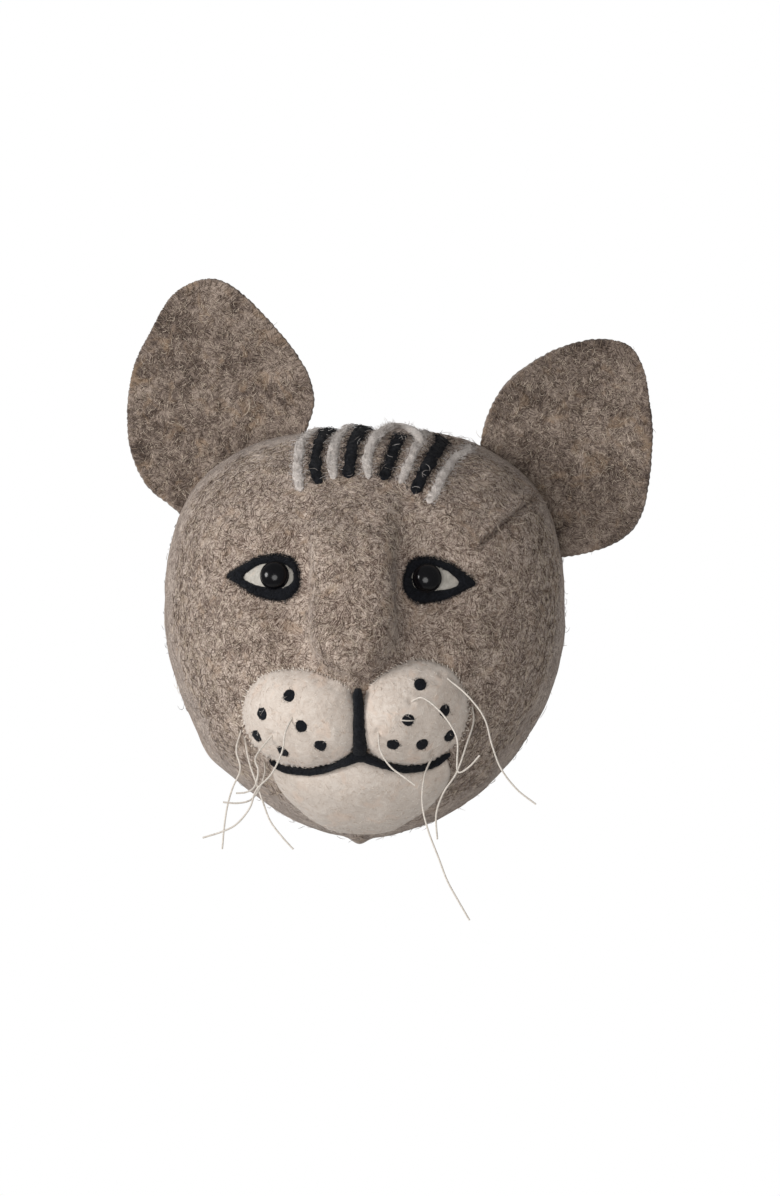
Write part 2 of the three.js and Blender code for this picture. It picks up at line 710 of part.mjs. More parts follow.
function earLayer(ear, front) {
  const levels = [1, 0.65, 0.3];
  const back = front + EAR_FELT;
  const pointAt = ([x, z], offset) => new THREE.Vector3(x, earY(ear, x, z) + offset, z);
  const ringAt = (level, offset) => scaled(ear.outline, level).map((p) => pointAt(p, offset));
  const rings = [
    ...levels.map((level) => ringAt(level, front)).reverse(),
    ...levels.map((level) => ringAt(level, back)),
  ];
  const middle = middleOf(ear.outline);
  const layer = loft(rings, pointAt(middle, front), pointAt(middle, back));
  return cut(layer, headSolid(-EAR_CLEARANCE, 8));
}

// ---- whiskers ----

// Each thread's route in the front view, from its knot on a pad to its cut end.
const WHISKERS = {
  left_whisker_1: [
    [-61.6, -48], [-64, -58], [-62, -67], [-66, -77],
    [-68.5, -86], [-70, -96], [-71, -107],
  ],
  left_whisker_2: [
    [-36, -41], [-39.5, -49], [-41, -58], [-46.5, -69.5], [-54, -77.5],
    [-57, -86], [-64, -94.5], [-71, -98], [-80.5, -101],
  ],
  left_whisker_3: [
    [-60, -51], [-57.5, -64], [-54, -74], [-50.5, -84],
    [-47, -93], [-41, -101], [-35.5, -107],
  ],
  left_whisker_4: [[-46, -50], [-54.5, -62], [-53, -67.5], [-55, -76], [-59, -78.5], [-64, -79]],
  left_whisker_5: [[-50, -64], [-50, -70], [-52.5, -77], [-57, -82.5], [-63.5, -84], [-70.5, -83.5]],
  right_whisker_1: [
    [38.5, -20], [51.5, -31], [59.5, -42], [63, -54.5],
    [67.5, -66.5], [75.5, -77], [85, -84.5],
  ],
  right_whisker_2: [
    [23, -33.5], [28.5, -31.5], [37.5, -38.5], [45.5, -51],
    [46.5, -68.5], [52, -65.5], [57, -60],
  ],
  right_whisker_3: [
    [53, -34], [54, -43.5], [50.5, -55], [45.5, -69],
    [39, -79], [35.5, -89.5], [36, -102],
  ],
  right_whisker_4: [
    [34, -60], [29.5, -71], [28.5, -84], [31, -96],
    [37, -112], [41, -122.5], [46.5, -132.5], [52, -142],
  ],
  right_whisker_5: [[6.5, -48.5], [8, -58.5], [13, -66], [19, -70.5], [25, -75]],
};
// How far in front of the wall plane each thread hangs.
const WHISKER_DEPTHS = {
  left_whisker_1: -138,
  left_whisker_2: -170,
  left_whisker_3: -146,
  left_whisker_4: -158,
  left_whisker_5: -152,
  right_whisker_1: -164,
  right_whisker_2: -178,
  right_whisker_3: -150,
  right_whisker_4: -170,
  right_whisker_5: -174,
};
const WHISKER_DROP = 0.45;
const KNOT_RADIUS = 0.9;

function whisker(name) {
  const outline = name.startsWith('left') ? LEFT_PAD : RIGHT_PAD;
  const route = WHISKERS[name];
  const hang = WHISKER_DEPTHS[name];
  const startY = padY(outline, ...route[0]) - KNOT_RADIUS;
  const points = route.map(([x, z], n) => new THREE.Vector3(x, lerp(hang, startY, WHISKER_DROP ** n), z));
  const length = new THREE.CatmullRomCurve3(points, false, 'centripetal').getLength();
  return roll(points, WHISKER_DIAMETER / 2, Math.round(length / WHISKER_STEP));
}

// ---- assembly ----

add('face_skin', faceSkin(), GREY_FELT);
add('rear_skin', rearSkin(), GREY_FELT);
add('stuffing', stuffing(), STUFFING);
add('back_board', backBoard(), FIBREBOARD);
add('back_felt', backFelt(), GREY_FELT);
add('hanger_plate', hangerPlate(), STEEL);
add('hanger_ring', hangerRing(), STEEL);
add('hanger_screw_lower', screwAt(-1, 0), STEEL);
add('hanger_screw_upper', screwAt(1, 0), STEEL);

Object.entries(EYES).forEach(([side, eye], n) => {
  add(`${side}_eye_white`, eyeWhite(eye, eyeCutters[n]), WHITE_FELT);
  add(`${side}_eye_outline`, eyeOutline(eye, eyeCutters[n]), BLACK_WOOL);
  add(`${side}_eye`, placeAtEye(safetyEye(0), eye, -EYE_STANDOFF), BLACK_PLASTIC);
  add(`${side}_eye_washer`, placeAtEye(washer(0), eye, WASHER_DEPTH), BLACK_PLASTIC);
});

Object.entries(PADS).forEach(([side, outline], n) => {
  add(`${side}_muzzle_pad`, padCover(outline), CREAM_FELT);
  add(`${side}_muzzle_filling`, padFilling(outline), STUFFING);
  SPOTS[side].forEach(([x, z], order) => {
    add(`${side}_spot_${order + 1}`, spot(outline, x, z, padCutters[n]), BLACK_WOOL);
  });
});

add('chin_patch', chinPatch(), CREAM_FELT);
add('philtrum', philtrum(), BLACK_WOOL);
add('mouth_line', mouthLine(), BLACK_WOOL);

STRIPES.forEach((form, n) => add(`stripe_${n + 1}`, stripe(form), form.finish));

for (const [side, ear] of Object.entries(EARS)) {
  add(`${side}_ear_front`, earLayer(ear, 0), EAR_GREY);
  add(`${side}_ear_back`, earLayer(ear, EAR_FELT + GAP), EAR_GREY);
}

for (const name of Object.keys(WHISKERS)) {
  add(name, whisker(name), THREAD);
}

export default object;
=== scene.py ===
"""A stuffed wool-felt head of a big cat that hangs on a wall: its looks, around the CAD frame.

Shapes are worked out in millimetres, as the CAD's driving dimensions are, and become metres in piece().
Left and right are as seen from the front, which looks along +Y.
"""

import itertools
import math

import bpy
import numpy as np
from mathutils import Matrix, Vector
from mathutils.bvhtree import BVHTree


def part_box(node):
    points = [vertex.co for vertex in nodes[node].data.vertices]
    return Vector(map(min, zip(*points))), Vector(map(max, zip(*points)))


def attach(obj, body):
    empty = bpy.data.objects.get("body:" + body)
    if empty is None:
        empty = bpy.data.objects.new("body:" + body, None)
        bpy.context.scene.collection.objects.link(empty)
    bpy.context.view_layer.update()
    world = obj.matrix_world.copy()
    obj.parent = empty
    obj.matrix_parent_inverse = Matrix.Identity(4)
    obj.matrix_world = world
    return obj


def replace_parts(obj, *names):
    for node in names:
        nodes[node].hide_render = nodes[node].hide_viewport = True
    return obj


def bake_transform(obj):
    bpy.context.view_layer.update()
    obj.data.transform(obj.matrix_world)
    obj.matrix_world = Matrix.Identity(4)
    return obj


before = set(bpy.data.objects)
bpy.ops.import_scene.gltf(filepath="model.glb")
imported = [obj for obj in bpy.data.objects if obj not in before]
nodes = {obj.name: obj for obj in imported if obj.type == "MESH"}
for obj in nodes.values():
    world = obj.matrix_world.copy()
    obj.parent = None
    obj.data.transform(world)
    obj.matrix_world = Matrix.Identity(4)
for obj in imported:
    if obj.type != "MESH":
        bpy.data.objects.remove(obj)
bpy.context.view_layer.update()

MM = 0.001

# The picture: how high it is where the head hangs, and where its middle lies.
PICTURE_HEIGHT = 0.598
PICTURE_MIDDLE = (0.0125, 0.018)
CAMERA_DISTANCE = 12.0
SENSOR = 36

# The head's driving dimensions, the same as the CAD's.
HALF_WIDTH = 101
CROWN_RISE = 91
CROWN_POWER = 2.7
CHIN_DROP = 115
CHIN_POWER = 1.9
WIDEST_LEVEL = 12
WIDEST_DEPTH = 58
DOME_DEPTH = 92
DOME_POWER = 2.2
POLE = (-2, -20)
BACK_SCALE = 0.86
BACK_TAPER_POWER = 2.2
SEAM = 1.25
SEAM_Y = -WIDEST_DEPTH * (2 - SEAM)
FELT = 3
BACK_FELT = 3
EAR_FELT = 2.7
EAR_GAP = 0.35

# Where the eyes are, how far each tilts, and its opening's width towards the nose, as a share of OPENING's.
EYES = {
    "left": {"x": -44.5, "z": 28.8, "outward": -1, "tilt": 0, "inner": 1.0},
    "right": {"x": 31, "z": 27.5, "outward": 1, "tilt": 0.1, "inner": 0.88},
}
EYE_RADIUS = 7.3
EYE_HEIGHT = 5.2
# The domes stand a little further out than the CAD's, because the felt round them is swollen.
EYE_STANDOFF = 2.9

# The stitches that sew the felt together.
STITCH_STEP = 2.7
STITCH_RADIUS = 0.22

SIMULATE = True
FORWARD = np.array([0.0, -1.0, 0.0])
BACKWARD = -FORWARD


# ---- numbers and noise ----


def mix(a, b, share):
    return a + (b - a) * share


def smoothstep(value, low, high):
    share = np.clip((value - low) / (high - low), 0, 1)
    return share * share * (3 - 2 * share)


def unit(vectors):
    return vectors / np.maximum(np.linalg.norm(vectors, axis=-1, keepdims=True), 1e-9)


def round_turn(count):
    """Angles evenly spaced round a full turn."""
    return np.arange(count) / count * 2 * np.pi


def bell(*distances):
    """1 where all the distances are 0, falling smoothly to 0 beyond 1."""
    return np.exp(-sum(distance**2 for distance in distances))


def lattice(cell, seed):
    """A repeatable number from -1 to 1 for each cell of a grid."""
    mixed = cell[..., 0] * 374761393 + cell[..., 1] * 668265263 + cell[..., 2] * 974634777
    mixed = mixed + seed * 144665
    mixed = (mixed ^ (mixed >> 13)) * 1274126177
    return ((mixed ^ (mixed >> 16)) & 0xFFFF) / 32767.5 - 1


def noise(points, size, seed=0):
    """Smooth noise from -1 to 1, in blobs of about the given size."""
    scaled = np.asarray(points) / size
    cell = np.floor(scaled).astype(np.int64)
    part = scaled - cell
    part = part * part * (3 - 2 * part)
    total = np.zeros(len(scaled))
    for corner in itertools.product((0, 1), repeat=3):
        weight = np.prod(np.where(corner, part, 1 - part), axis=-1)
        total += weight * lattice(cell + np.array(corner), seed)
    return total


SPAN_STEPS = 24


def looped(line):
    return np.vstack([line, line[:1]])


def evenly(line, count):
    """Points at equal steps along a line, both its ends included."""
    along = np.concatenate([[0], np.cumsum(np.linalg.norm(np.diff(line, axis=0), axis=1))])
    wanted = np.linspace(0, along[-1], count + 1)
    return np.stack([np.interp(wanted, along, column) for column in line.T], axis=1)


def in_space(flat, y=0.0):
    """Places in the front view, put at a depth."""
    return np.stack([flat[:, 0], np.broadcast_to(y, len(flat)), flat[:, 1]], axis=1)


def area_of(shape):
    """An outline's area, less than 0 where it runs clockwise."""
    x, z = shape.T
    return np.sum(x * np.roll(z, -1) - z * np.roll(x, -1)) / 2


def curve_through(points, count, closed=False):
    """Evenly spaced points on a centripetal Catmull-Rom curve through the given ones."""
    points = np.asarray(points, float)
    if closed:
        guides = np.vstack([points[-1:], points, points[:2]])
    else:
        guides = np.vstack([2 * points[0] - points[1], points, 2 * points[-1] - points[-2]])
    t = np.linspace(0, 1, SPAN_STEPS, endpoint=False)[:, None]
    fine = []
    for a, b, c, d in zip(guides, guides[1:], guides[2:], guides[3:]):
        before, here, after = (np.linalg.norm(q - p) ** 0.5 for p, q in ((a, b), (b, c), (c, d)))
        leave = ((b - a) / before - (c - a) / (before + here) + (c - b) / here) * here
        arrive = ((c - b) / here - (d - b) / (here + after) + (d - c) / after) * here
        ease = 3 * t**2 - 2 * t**3
        fine.append(mix(b, c, ease) + (t**3 - 2 * t**2 + t) * leave + (t**3 - t**2) * arrive)
    fine = np.vstack([*fine, points[:1] if closed else points[-1:]])
    even = evenly(fine, count)
    return even[:-1] if closed else even


def length_of(points):
    return float(np.linalg.norm(np.diff(points, axis=0), axis=1).sum())


# ---- meshes ----


def in_scene(name, data):
    obj = bpy.data.objects.new(name, data)
    bpy.context.scene.collection.objects.link(obj)
    return obj


def piece(name, points, faces, material, slot, panels=(0,)):
    """A mesh object from points in millimetres."""
    mesh = bpy.data.meshes.new(name)
    mesh.from_pydata((np.asarray(points, float) * MM).tolist(), [], faces)
    mesh.update()
    for _ in range(max(panels) + 1):
        mesh.materials.append(material)
    if len(panels) > 1:
        mesh.polygons.foreach_set("material_index", panels)
    obj = in_scene(name, mesh)
    return obj


def coordinates(mesh):
    flat = np.zeros(len(mesh.vertices) * 3, np.float32)
    mesh.vertices.foreach_get("co", flat)
    return flat.reshape(-1, 3).astype(float) / MM


def set_coordinates(mesh, points):
    mesh.vertices.foreach_set("co", (points * MM).astype(np.float32).ravel())
    mesh.update()


def normals_of(mesh):
    flat = np.zeros(len(mesh.vertices) * 3, np.float32)
    mesh.vertex_normals.foreach_get("vector", flat)
    return flat.reshape(-1, 3).astype(float)


def settle(obj):
    """Puts what the piece's modifiers make of its mesh in the mesh's place."""
    graph = bpy.context.evaluated_depsgraph_get()
    made = bpy.data.meshes.new_from_object(
        obj.evaluated_get(graph), preserve_all_data_layers=True, depsgraph=graph
    )
    obj.modifiers.clear()
    plain = obj.data
    obj.data = made
    bpy.data.meshes.remove(plain)
    made.name = obj.name


def subdivide(obj, levels):
    modifier = obj.modifiers.new("smooth", "SUBSURF")
    modifier.levels = modifier.render_levels = levels
    settle(obj)


def thicken(obj, thickness):
    """Gives a sheet its thickness, behind the side that it shows."""
    modifier = obj.modifiers.new("thickness", "SOLIDIFY")
    modifier.thickness = thickness * MM
    modifier.offset = -1
    settle(obj)


def displace(obj, amount):
    """Moves each point along its normal, outwards, by amount(points) in millimetres."""
    points = coordinates(obj.data)
    set_coordinates(obj.data, points + normals_of(obj.data) * amount(points)[:, None])


def finished(obj, body="head"):
    """Smooths the shading, keeps the resting place for the material, and makes the piece ride."""
    obj.data.polygons.foreach_set("use_smooth", [True] * len(obj.data.polygons))
    rest = obj.data.attributes.new("rest", "FLOAT_VECTOR", "POINT")
    rest.data.foreach_set("vector", (coordinates(obj.data) * MM).astype(np.float32).ravel())
    if body is not None:
        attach(obj, body)
    return obj


PRESSURE = 4
LAST_FRAME = 20


def simulate(obj, sewn, cap):
    """Blows the piece up like a stuffed cover, held where it is sewn down, and caps how far it moves."""
    group = obj.vertex_groups.new(name="sewn")
    group.add([int(n) for n in np.flatnonzero(sewn)], 1, "REPLACE")
    cloth = obj.modifiers.new("cloth", "CLOTH")
    settings = cloth.settings
    settings.quality = 6
    settings.mass = 0.3
    settings.tension_stiffness = settings.compression_stiffness = 15
    settings.shear_stiffness = 8
    settings.bending_stiffness = 2
    settings.use_pressure = True
    settings.uniform_pressure_force = PRESSURE
    settings.effector_weights.gravity = 0
    settings.vertex_group_mass = group.name
    cloth.collision_settings.use_collision = False
    cloth.point_cache.frame_start = 1
    cloth.point_cache.frame_end = LAST_FRAME
    scene = bpy.context.scene
    for step in range(1, LAST_FRAME + 1):
        scene.frame_set(step)
    graph = bpy.context.evaluated_depsgraph_get()
    blown = coordinates(obj.evaluated_get(graph).data)
    obj.modifiers.clear()
    obj.vertex_groups.clear()
    scene.frame_set(1)
    plain = coordinates(obj.data)
    move = blown - plain
    far = np.linalg.norm(move, axis=1, keepdims=True)
    move *= cap * np.tanh(far / cap) / np.maximum(far, 1e-6)
    set_coordinates(obj.data, plain + move)


def square_grid(count):
    """A square grid bent into the unit disc: its points, its faces that look forward, and its rim."""
    line = np.linspace(-1, 1, count + 1)
    u, v = np.meshgrid(line, line, indexing="ij")
    disc = np.stack([u * np.sqrt(1 - v * v / 2), v * np.sqrt(1 - u * u / 2)], axis=-1).reshape(-1, 2)
    index = np.arange((count + 1) ** 2).reshape(count + 1, count + 1)
    corners = [index[:-1, :-1], index[1:, :-1], index[1:, 1:], index[:-1, 1:]]
    faces = np.stack(corners, axis=-1).reshape(-1, 4)
    rim = np.concatenate([index[:-1, 0], index[-1, :-1], index[:0:-1, -1], index[0, :0:-1]])
    return disc, faces, rim


def joined(rings, columns, around=False):
    """The faces between rings of points, each joined to the next; around joins the last to the first."""
    index = np.arange(rings * columns).reshape(rings, columns)
    low, high = (index, np.roll(index, -1, axis=0)) if around else (index[:-1], index[1:])
    corners = [low, np.roll(low, -1, axis=1), np.roll(high, -1, axis=1), high]
    return np.stack(corners, axis=-1).reshape(-1, 4).tolist()


def between(ring, after):
    """The faces between two rings of points, given by their numbers."""
    return np.stack([ring, after, np.roll(after, -1), np.roll(ring, -1)], axis=1).tolist()


def two_sided(name, front, back, faces, rim, material, slot):
    """A closed piece: a sheet's front, its back, and the edge between them."""
    total = len(front)
    quads = [*faces.tolist(), *(faces[:, ::-1] + total).tolist(), *between(rim, rim + total)]
    return piece(name, np.vstack([front, back]), quads, material, slot)


def only_used(points, faces):
    """The points that faces use, and the faces with those points' new numbers."""
    used, corners = np.unique(faces, return_inverse=True)
    return points[used], corners.reshape(faces.shape).tolist()


def tubes(paths, across, side_radius, lift_radius, sides):
    """Tubes along paths of equal point counts. Their sections are ellipses whose first axis lies along
    the cross product of the path and the across vector."""
    paths = np.asarray(paths, float)
    many, count = paths.shape[:2]
    ahead = unit(np.gradient(paths, axis=1))
    side = unit(np.cross(ahead, np.broadcast_to(across, paths.shape)))
    lift = unit(np.cross(side, ahead))
    turn = round_turn(sides)
    side_radius = np.broadcast_to(side_radius, (many, count))[..., None, None]
    lift_radius = np.broadcast_to(lift_radius, (many, count))[..., None, None]
    ring = (
        side[:, :, None] * side_radius * np.cos(turn)[:, None]
        + lift[:, :, None] * lift_radius * np.sin(turn)[:, None]
    )
    points = (paths[:, :, None] + ring).reshape(-1, 3)
    start = np.arange(many)[:, None] * count * sides
    quads = start[:, None] + np.array(joined(count, sides))
    first = start + np.arange(sides)[::-1]
    last = start + (count - 1) * sides + np.arange(sides)
    return points, [*quads.reshape(-1, 4).tolist(), *first.tolist(), *last.tolist()]


# ---- materials ----


class Shader:
    """A material's nodes, made by short calls. An input is a number, a colour or another node's output."""

    def __init__(self, name):
        self.material = bpy.data.materials.new(name)
        self.material.use_nodes = True
        self.tree = self.material.node_tree
        self.surface = self.tree.nodes["Principled BSDF"]

    def node(self, kind, inputs=None, **settings):
        made = self.tree.nodes.new("ShaderNode" + kind)
        for name, value in settings.items():
            setattr(made, name, value)
        for name, value in (inputs or {}).items():
            self.put(made.inputs[name], value)
        return made

    def put(self, socket, value):
        if isinstance(value, bpy.types.NodeSocket):
            self.tree.links.new(value, socket)
        else:
            socket.default_value = value

    def set(self, **values):
        for name, value in values.items():
            self.put(self.surface.inputs[name.replace("_", " ")], value)

    def math(self, operation, a, b=0.0):
        return self.node("Math", {0: a, 1: b}, operation=operation).outputs[0]

    def vector(self, operation, a, b=(0, 0, 0)):
        made = self.node("VectorMath", {0: a, 1: b}, operation=operation)
        return made.outputs["Value" if operation == "DOT_PRODUCT" else "Vector"]

    def rest(self):
        """Where a point lies when the object is at rest, so that a pattern moves with a bent piece."""
        return self.node("Attribute", attribute_name="rest").outputs["Vector"]

    def place(self):
        return self.node("TexCoord").outputs["Object"]

    def noise(self, where, size, detail=2.0, roughness=0.5, distortion=0.0):
        """Noise in blobs of a size in millimetres, from 0 to 1."""
        inputs = {
            "Vector": where,
            "Scale": 1 / (size * MM),
            "Detail": detail,
            "Roughness": roughness,
            "Distortion": distortion,
        }
        return self.node("TexNoise", inputs)

    def ramp(self, value, *stops):
        made = self.node("ValToRGB", {"Fac": value})
        ramp = made.color_ramp
        while len(ramp.elements) < len(stops):
            ramp.elements.new(0.5)
        for element, (position, colour) in zip(ramp.elements, stops):
            element.position = position
            element.color = (*colour, 1) if len(colour) == 3 else colour
        return made.outputs["Color"]

    def grey(self, value, low, high, start=0.0, end=1.0):
        return self.node(
            "MapRange", {"Value": value, "From Min": start, "From Max": end, "To Min": low, "To Max": high}
        ).outputs[0]

    def blend(self, share, a, b, kind="MIX"):
        inputs = {"Fac": share, "Color1": a, "Color2": b}
        return self.node("MixRGB", inputs, blend_type=kind).outputs["Color"]

    def strokes(self, where, cell, long, wide, bend):
        """Short fibres that lie in the surface, each patch of them in a direction of its own."""
        curl = self.noise(where, 2.2 * cell, detail=1.0).outputs["Color"]
        curl = self.vector("MULTIPLY", self.vector("SUBTRACT", curl, (0.5,) * 3), (bend * MM,) * 3)
        bent = self.vector("ADD", where, curl)
        patch = self.node("TexVoronoi", {"Vector": bent, "Scale": 1 / (cell * MM)})
        local = self.vector("SUBTRACT", bent, patch.outputs["Position"])
        facing = self.node("TexCoord").outputs["Normal"]
        heading = self.vector("SUBTRACT", patch.outputs["Color"], (0.5,) * 3)
        along = self.vector("NORMALIZE", self.vector("CROSS_PRODUCT", facing, heading))
        across = self.vector("CROSS_PRODUCT", facing, along)
        u = self.math("DIVIDE", self.vector("DOT_PRODUCT", local, along), long * MM)
        v = self.math("DIVIDE", self.vector("DOT_PRODUCT", local, across), wide * MM)
        seed = self.math("MULTIPLY", self.node("SeparateXYZ", {0: patch.outputs["Color"]}).outputs[0], 40.0)
        flat = self.node("CombineXYZ", {0: u, 1: v, 2: seed}).outputs[0]
        return self.node("TexNoise", {"Vector": flat, "Scale": 1.0, "Detail": 1.0}).outputs["Fac"]

    def bump(self, height, depth, strength=1.0):
        made = self.node("Bump", {"Height": height, "Distance": depth * MM, "Strength": strength})
        self.put(self.surface.inputs["Normal"], made.outputs["Normal"])


def srgb(*channels):
    """A colour as 0 to 255 display values, made linear."""
    return tuple((c / 255 / 12.92 if c < 11 else ((c / 255 + 0.055) / 1.055) ** 2.4) for c in channels)


def felt(
    name, dark, middle, light, patches, contrast=1.0, sheen=0.2, depth=0.9, tufting=0.08, mottling=0.08
):
    """Wool felt: matted fibres of mixed colours, in tufts and faint patches."""
    s = Shader(name)
    where = s.rest()
    long_fibres = s.strokes(where, cell=5.0, long=3.2, wide=0.34, bend=4.0)
    short_fibres = s.strokes(where, cell=2.4, long=1.7, wide=0.3, bend=2.0)
    tufts = s.noise(where, 3.2, detail=3.0, roughness=0.6).outputs["Fac"]
    clouds = s.noise(where, 14.0, detail=3.0, roughness=0.6, distortion=0.6).outputs["Fac"]
    fibres = s.math("ADD", s.math("MULTIPLY", long_fibres, 0.55), s.math("MULTIPLY", short_fibres, 0.45))
    tone = s.math("ADD", s.math("MULTIPLY", fibres, contrast), s.grey(tufts, -tufting, tufting, 0.3, 0.7))
    tone = s.math("ADD", tone, s.grey(clouds, -mottling, mottling, 0.3, 0.7))
    tone = s.math("SUBTRACT", tone, 0.5 * (contrast - 1))
    wool = s.ramp(tone, (0.3, dark), (0.5, middle), (0.7, light))
    warm = s.noise(where, 9.0, detail=2.0, distortion=0.8).outputs["Fac"]
    wool = s.blend(s.grey(warm, 0.0, 0.55, 0.56, 0.72), wool, patches)
    s.set(Base_Color=wool, Roughness=s.grey(short_fibres, 0.86, 1.0))
    s.set(Sheen_Weight=sheen, Sheen_Roughness=0.55, Specular_IOR_Level=0.15)
    s.bump(s.math("ADD", fibres, s.math("MULTIPLY", tufts, 0.7)), depth=depth, strength=0.8)
    return s.material


def wool(name, dark, light, sheen=0.3):
    """Loose combed wool, worked in with a needle."""
    s = Shader(name)
    where = s.rest()
    strands = s.strokes(where, cell=3.4, long=3.2, wide=0.3, bend=1.6)
    tufts = s.noise(where, 1.7, detail=3.0, roughness=0.65).outputs["Fac"]
    tone = s.math("ADD", s.math("MULTIPLY", strands, 0.6), s.math("MULTIPLY", tufts, 0.4))
    s.set(Base_Color=s.ramp(tone, (0.35, dark), (0.68, light)), Roughness=s.grey(tufts, 0.85, 1.0))
    s.set(Sheen_Weight=sheen, Sheen_Roughness=0.5, Specular_IOR_Level=0.12)
    s.bump(tone, depth=1.0, strength=0.9)
    return s.material


def hairs(name, *stops):
    """Single fibres: each one has a shade of its own."""
    s = Shader(name)
    shade = s.node("Attribute", attribute_name="shade").outputs["Fac"]
    speckle = s.noise(s.rest(), 0.8, detail=1.0).outputs["Fac"]
    shade = s.math("ADD", shade, s.grey(speckle, -0.06, 0.06))
    s.set(Base_Color=s.ramp(shade, *stops), Roughness=0.75, Specular_IOR_Level=0.2)
    return s.material


def thread(name, dark, light, bends=True):
    """Twisted cotton thread with a little wax."""
    s = Shader(name)
    point = s.rest() if bends else s.place()
    plies = s.noise(point, 0.45, detail=2.0, distortion=1.0).outputs["Fac"]
    s.set(Base_Color=s.ramp(plies, (0.3, dark), (0.6, light)), Roughness=s.grey(plies, 0.55, 0.8))
    s.set(Sheen_Weight=0.15, Specular_IOR_Level=0.35)
    s.bump(plies, depth=0.25, strength=0.8)
    return s.material


def eye_plastic(name):
    """Polished black plastic with the faint haze and dust of handling."""
    s = Shader(name)
    point = s.place()
    dust = s.noise(point, 0.8, detail=4.0, roughness=0.7).outputs["Fac"]
    haze = s.noise(point, 4.0, detail=2.0).outputs["Fac"]
    s.set(Base_Color=s.ramp(dust, (0.55, (0.002, 0.002, 0.003)), (0.85, (0.012, 0.012, 0.014))))
    s.set(Roughness=s.grey(haze, 0.1, 0.2), Specular_IOR_Level=0.22)
    s.bump(dust, depth=0.02, strength=0.3)
    return s.material


def moulded_plastic(name):
    s = Shader(name)
    point = s.place()
    grain = s.noise(point, 0.5, detail=3.0).outputs["Fac"]
    s.set(Base_Color=s.ramp(grain, (0.3, (0.03, 0.03, 0.032)), (0.7, (0.06, 0.06, 0.062))))
    s.set(Roughness=s.grey(grain, 0.45, 0.65))
    s.bump(grain, depth=0.05, strength=0.4)
    return s.material


def fibreboard(name):
    """Raw pressed board: fine pale fibres with darker specks."""
    s = Shader(name)
    point = s.place()
    specks = s.node("TexVoronoi", {"Vector": point, "Scale": 900.0}).outputs["Distance"]
    matted = s.noise(point, 1.6, detail=5.0, roughness=0.7, distortion=1.5).outputs["Fac"]
    tones = ((0.25, srgb(128, 104, 78)), (0.55, srgb(164, 138, 108)), (0.8, srgb(186, 162, 132)))
    board = s.ramp(matted, *tones)
    shade = s.ramp(specks, (0.05, (0.55, 0.5, 0.45)), (0.3, (1, 1, 1)))
    s.set(Base_Color=s.blend(0.6, board, shade, "MULTIPLY"), Roughness=s.grey(matted, 0.75, 0.95))
    s.bump(matted, depth=0.25, strength=0.6)
    return s.material


def zinc_steel(name):
    """Zinc-plated steel, lightly brushed, with a faint spangle and small stains."""
    s = Shader(name)
    point = s.place()
    streaks = s.vector("MULTIPLY", point, (9.0, 1.0, 0.6))
    brushed = s.noise(streaks, 1.2, detail=4.0, roughness=0.7).outputs["Fac"]
    spangle = s.node("TexVoronoi", {"Vector": point, "Scale": 420.0}).outputs["Color"]
    stains = s.noise(point, 5.0, detail=4.0, roughness=0.7).outputs["Fac"]
    zinc = s.ramp(brushed, (0.3, srgb(150, 152, 152)), (0.7, srgb(196, 197, 194)))
    zinc = s.blend(0.12, zinc, spangle, "OVERLAY")
    zinc = s.blend(s.grey(stains, 0.0, 0.5, 0.58, 0.75), zinc, (*srgb(120, 112, 98), 1))
    s.set(Base_Color=zinc, Metallic=1.0, Roughness=s.grey(stains, 0.24, 0.5))
    s.bump(brushed, depth=0.04, strength=0.5)
    return s.material


GREY_FELT = felt(
    "grey_felt",
    dark=srgb(76, 59, 50),
    middle=srgb(148, 131, 120),
    light=srgb(202, 187, 174),
    patches=(*srgb(164, 142, 122), 1),
    contrast=1.8,
)
EAR_FELT_LOOK = felt(
    "ear_felt",
    dark=srgb(58, 47, 41),
    middle=srgb(117, 103, 94),
    light=srgb(168, 153, 141),
    patches=(*srgb(152, 129, 106), 1),
    contrast=1.3,
    mottling=0.14,
)
CREAM_FELT = felt(
    "cream_felt",
    dark=srgb(178, 163, 151),
    middle=srgb(200, 189, 179),
    light=srgb(219, 211, 203),
    patches=(*srgb(208, 187, 171), 1),
    contrast=0.5,
    depth=0.35,
    tufting=0.05,
    mottling=0.05,
)
WHITE_FELT = felt(
    "white_felt",
    dark=srgb(150, 145, 136),
    middle=srgb(178, 174, 166),
    light=srgb(200, 196, 188),
    patches=(*srgb(206, 190, 176), 1),
    contrast=0.7,
    depth=0.3,
)
BLACK_WOOL = wool("black_wool", dark=srgb(8, 10, 14), light=srgb(30, 32, 38), sheen=0.06)
LIGHT_WOOL = wool("light_wool", dark=srgb(172, 163, 156), light=srgb(224, 217, 212))
FILLING = wool("filling", dark=srgb(214, 212, 206), light=srgb(244, 243, 240))
EYE_PLASTIC = eye_plastic("eye_plastic")
WASHER_PLASTIC = moulded_plastic("washer_plastic")
WHISKER_THREAD = thread("thread", dark=srgb(168, 160, 150), light=srgb(222, 215, 206), bends=False)
GREY_THREAD = thread("grey_thread", dark=srgb(72, 60, 51), light=srgb(138, 122, 106))
CREAM_THREAD = thread("cream_thread", dark=srgb(206, 192, 176), light=srgb(238, 230, 220))
FIBREBOARD = fibreboard("fibreboard")
STEEL = zinc_steel("steel")
GREY_HAIRS = hairs(
    "grey_hairs", (0.0, srgb(58, 45, 37)), (0.45, srgb(120, 102, 88)), (1.0, srgb(226, 212, 194))
)
CREAM_HAIRS = hairs("cream_hairs", (0.0, srgb(188, 168, 150)), (1.0, srgb(250, 246, 240)))
BLACK_HAIRS = hairs("black_hairs", (0.0, srgb(8, 9, 12)), (1.0, srgb(34, 36, 42)))
